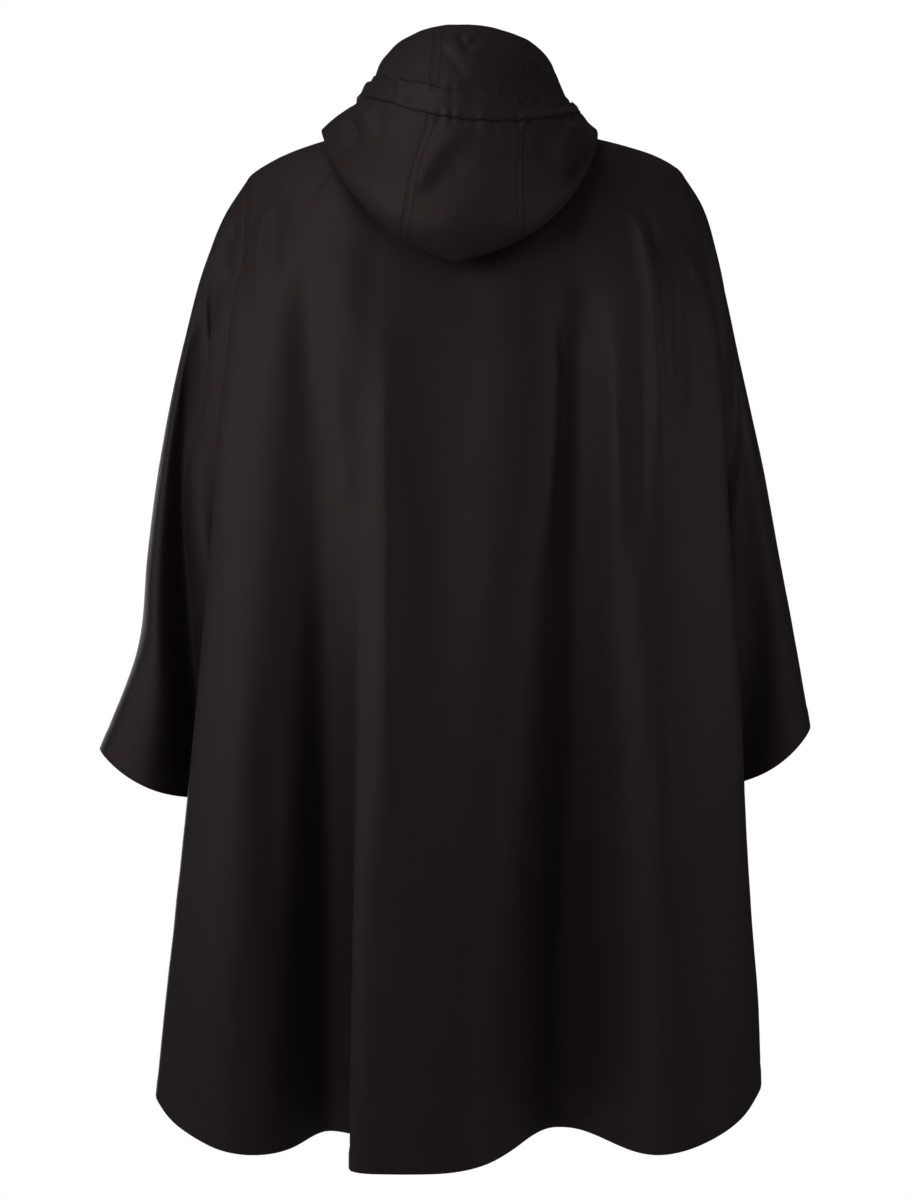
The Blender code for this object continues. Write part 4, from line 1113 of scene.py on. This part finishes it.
class PonchoCloth(bpy.types.PropertyGroup):
    """The cloth of the poncho."""

    wall: Length(name="Cloth thickness", description="Thickness of the single cloth", default=0.001)
    hem_wall: Length(name="Hem thickness", description="Thickness where the hem is turned up", default=0.0021)
    hem_depth: Length(name="Hem depth", description="How far the hem is turned up", default=0.020)
    colour: Colour(
        name="Colour", description="Colour of the right side", default=(0.0168, 0.0122, 0.0131, 1.0)
    )
    inside_colour: Colour(
        name="Inside colour", description="Colour of the coated inside", default=(0.0130, 0.0105, 0.0112, 1.0)
    )
    roughness: Share(name="Roughness", description="Roughness of the right side", default=0.5)
    inside_roughness: Share(
        name="Inside roughness", description="Roughness of the coated inside", default=0.42
    )
    gloss: Share(name="Gloss", description="Strength of the satin reflection", default=0.17)
    sheen: Share(name="Sheen", description="Soft light at glancing angles", default=0.03)
    tint: Colour(
        name="Gloss tint", description="Colour of the satin reflection", default=(1.0, 0.80, 0.85, 1.0)
    )
    weave: Length(name="Weave", description="Width of two threads of the weave", default=0.0009)
    weave_relief: Length(name="Weave relief", description="Height of the threads", default=0.00004)


class PonchoSewing(bpy.types.PropertyGroup):
    """The rows of stitches."""

    stitch: Length(name="Stitch", description="Length of one stitch", default=0.0026)
    gap: Length(name="Gap", description="Between two stitches", default=0.0007)
    thread: Length(name="Thread", description="Thickness of the thread", default=0.0005)
    thread_colour: Colour(
        name="Thread colour", description="Colour of the thread", default=(0.0105, 0.0080, 0.0085, 1.0)
    )


class PonchoStage(bpy.types.PropertyGroup):
    """The camera, floor and lights."""

    camera_away: Length(name="Camera distance", description="From the origin, behind the wearer", default=3.4)
    camera_height: Length(name="Camera height", description="Above the base of the neck", default=-0.473)
    lens: bpy.props.FloatProperty(
        name="Lens", description="Focal length for a 36 mm sensor", default=95.76, min=1.0, unit="CAMERA"
    )
    floor_height: Length(name="Floor height", description="Above the base of the neck", default=-1.36)
    main: Power(name="Main light", description="Power left of the camera", default=10.6)
    fill: Power(name="Fill light", description="Power right of the camera", default=2.6)
    high: Power(name="High light", description="Power from high on the left", default=8.0)
    left: Power(name="Left light", description="Power from picture left", default=3.8)
    right: Power(name="Right light", description="Power from picture right", default=5.5)
    far: Power(name="Far light", description="Power on the wearer's front", default=18.0)
    room: Share(name="Room", description="Strength of the light all round", default=0.01)


def shared_material(name, maker):
    """A material by its name, made once."""
    return bpy.data.materials.get(name) or maker()


def dress(pieces, context):
    """Make the cloth and the stitches of the given pieces, and stop if a piece has no cloth."""
    cloth, sewing = context.scene.poncho_cloth, context.scene.poncho_sewing
    right_side = shared_material("rain_cloth", lambda: cloth_material(cloth))
    wrong_side = shared_material("rain_coating", lambda: cloth_material(cloth, inside=True))
    thread = shared_material("sewing_thread", lambda: thread_material(sewing))
    named = {piece.name: piece for piece in pieces}
    cloths = {name: make_cloth(piece, cloth, (right_side, wrong_side)) for name, piece in named.items()}
    wall = cloth.wall / MM
    threads = {name: sew(named[name], sewing, wall, thread) for name in STITCH_ROWS if name in named}
    for name, made in cloths.items():
        if not made.data.polygons:
            raise RuntimeError(f"{name} has no cloth")
    return {"FINISHED"}


class PONCHO_OT_body(bpy.types.Operator):
    """Cut the back and the front, with their folds, hems and armhole stitches"""

    bl_idname = "poncho.add_body"
    bl_label = "Back and Front"

    def execute(self, context):
        pieces = body_pieces()
        return dress([pieces["back_panel"], pieces["front_panel"]], context)


class PONCHO_OT_sleeves(bpy.types.Operator):
    """Set the two wing sleeves into the armholes"""

    bl_idname = "poncho.add_sleeves"
    bl_label = "Sleeves"

    def execute(self, context):
        pieces = body_pieces()
        return dress([pieces["sleeve_left"], pieces["sleeve_right"]], context)


class PONCHO_OT_hood(bpy.types.Operator):
    """Sew the hood from its two sides and the strip between them, lying on the back"""

    bl_idname = "poncho.add_hood"
    bl_label = "Hood"

    def execute(self, context):
        pieces = hood_pieces()
        return dress([pieces["left"], pieces["center"], pieces["right"]], context)


class PONCHO_OT_channel(bpy.types.Operator):
    """Lay the casing of the gathering cord across the hood"""

    bl_idname = "poncho.add_channel"
    bl_label = "Cord Casing"

    def execute(self, context):
        return dress([hood_pieces()["channel"]], context)


# The lights: where each stands, the point it is aimed at, and its size, in metres.
MIDDLE, UPPER = (0.0, 0.08, -0.40), (0.0, 0.08, -0.35)
LIGHTS = {
    "main": ((1.10, 1.22, 0.10), MIDDLE, (0.8, 0.8)),
    "fill": ((-0.25, 1.60, 0.35), UPPER, (0.9, 0.9)),
    "high": ((0.60, 0.48, 1.38), UPPER, (0.9, 0.9)),
    "left": ((1.48, 0.36, -0.25), MIDDLE, (0.8, 1.0)),
    "right": ((-1.40, 0.60, -0.20), UPPER, (0.8, 1.1)),
    "far": ((1.15, -2.55, -0.70), (0.0, -0.1, -0.50), (1.4, 1.4)),
}
CAMERA_X = 0.003
FLOOR_RADIUS, FLOOR_CORNERS = 1.12, 96
FLOOR_COLOUR, FLOOR_ROUGHNESS = (0.94, 0.94, 0.94, 1.0), 0.8
WHITE = (1.0, 1.0, 1.0, 1.0)


def add_softbox(name, location, target, size, power):
    """A soft rectangular light aimed at a point."""
    bpy.ops.object.light_add(type="AREA", location=location)
    lamp = bpy.context.object
    lamp.name = name
    lamp.data.shape = "RECTANGLE"
    lamp.data.size, lamp.data.size_y = size
    lamp.data.energy = power
    way = np.array(target) - np.array(location)
    level = math.hypot(way[0], way[1])
    lamp.rotation_euler = (math.atan2(level, -way[2]), 0.0, math.atan2(-way[0], way[1]))


def light_room(world, strength):
    """Light the scene faintly from all round, and show the camera plain white behind it."""
    world.use_nodes = True
    tree = world.node_tree
    tree.nodes.clear()
    lit, white = (
        add_node(tree, "Background", {"Color": WHITE, "Strength": value}).outputs[0]
        for value in (strength, 1.0)
    )
    seen = add_node(tree, "LightPath").outputs["Is Camera Ray"]
    choose = add_node(tree, "MixShader", {0: seen, 1: lit, 2: white})
    add_node(tree, "OutputWorld", {"Surface": choose.outputs[0]})


class PONCHO_OT_stage(bpy.types.Operator):
    """Set the camera behind the wearer, with a pale floor and soft lights"""

    bl_idname = "poncho.set_stage"
    bl_label = "Stage"

    def execute(self, context):
        stage = context.scene.poncho_stage
        bpy.ops.object.camera_add(
            location=(CAMERA_X, stage.camera_away, stage.camera_height),
            rotation=(math.radians(90.0), 0.0, math.pi),
        )
        camera = context.object
        camera.data.sensor_fit = "AUTO"
        camera.data.sensor_width = 36.0
        camera.data.lens = stage.lens
        context.scene.camera = camera

        bpy.ops.mesh.primitive_circle_add(
            vertices=FLOOR_CORNERS,
            radius=FLOOR_RADIUS,
            fill_type="NGON",
            location=(0.0, 0.0, stage.floor_height),
        )
        floor = context.object
        floor.name = "floor"
        matt, tree, shader = new_material("pale_floor")
        feed(tree, shader, {"Base Color": FLOOR_COLOUR, "Roughness": FLOOR_ROUGHNESS})
        floor.data.materials.append(matt)

        for name, (location, target, size) in LIGHTS.items():
            add_softbox(name, location, target, size, getattr(stage, name))
        context.scene.world = context.scene.world or bpy.data.worlds.new("room")
        light_room(context.scene.world, stage.room)
        context.scene.view_settings.view_transform = "Standard"
        context.scene.view_settings.look = "None"
        return {"FINISHED"}


class PONCHO_PT_panel(bpy.types.Panel):
    """Sizes, colours and the steps of making"""

    bl_label = "Rain Poncho"
    bl_idname = "PONCHO_PT_panel"
    bl_space_type = "VIEW_3D"
    bl_region_type = "UI"
    bl_category = "Poncho"

    def draw(self, context):
        layout = self.layout
        for group in (context.scene.poncho_cloth, context.scene.poncho_sewing, context.scene.poncho_stage):
            box = layout.box()
            for name in type(group).__annotations__:
                box.prop(group, name)
        for operator in OPERATORS:
            layout.operator(operator.bl_idname)


SETTINGS = {"poncho_cloth": PonchoCloth, "poncho_sewing": PonchoSewing, "poncho_stage": PonchoStage}
OPERATORS = (PONCHO_OT_body, PONCHO_OT_sleeves, PONCHO_OT_hood, PONCHO_OT_channel, PONCHO_OT_stage)


def register():
    for made in (*SETTINGS.values(), *OPERATORS, PONCHO_PT_panel):
        bpy.utils.register_class(made)
    for name, group in SETTINGS.items():
        setattr(bpy.types.Scene, name, bpy.props.PointerProperty(type=group))


def unregister():
    for name in SETTINGS:
        delattr(bpy.types.Scene, name)
    for made in reversed((*SETTINGS.values(), *OPERATORS, PONCHO_PT_panel)):
        bpy.utils.unregister_class(made)


def main():
    register()
    bpy.ops.poncho.add_body()
    bpy.ops.poncho.add_sleeves()
    bpy.ops.poncho.add_hood()
    bpy.ops.poncho.add_channel()
    bpy.ops.poncho.set_stage()
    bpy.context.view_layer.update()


if __name__ == "__main__":
    main()
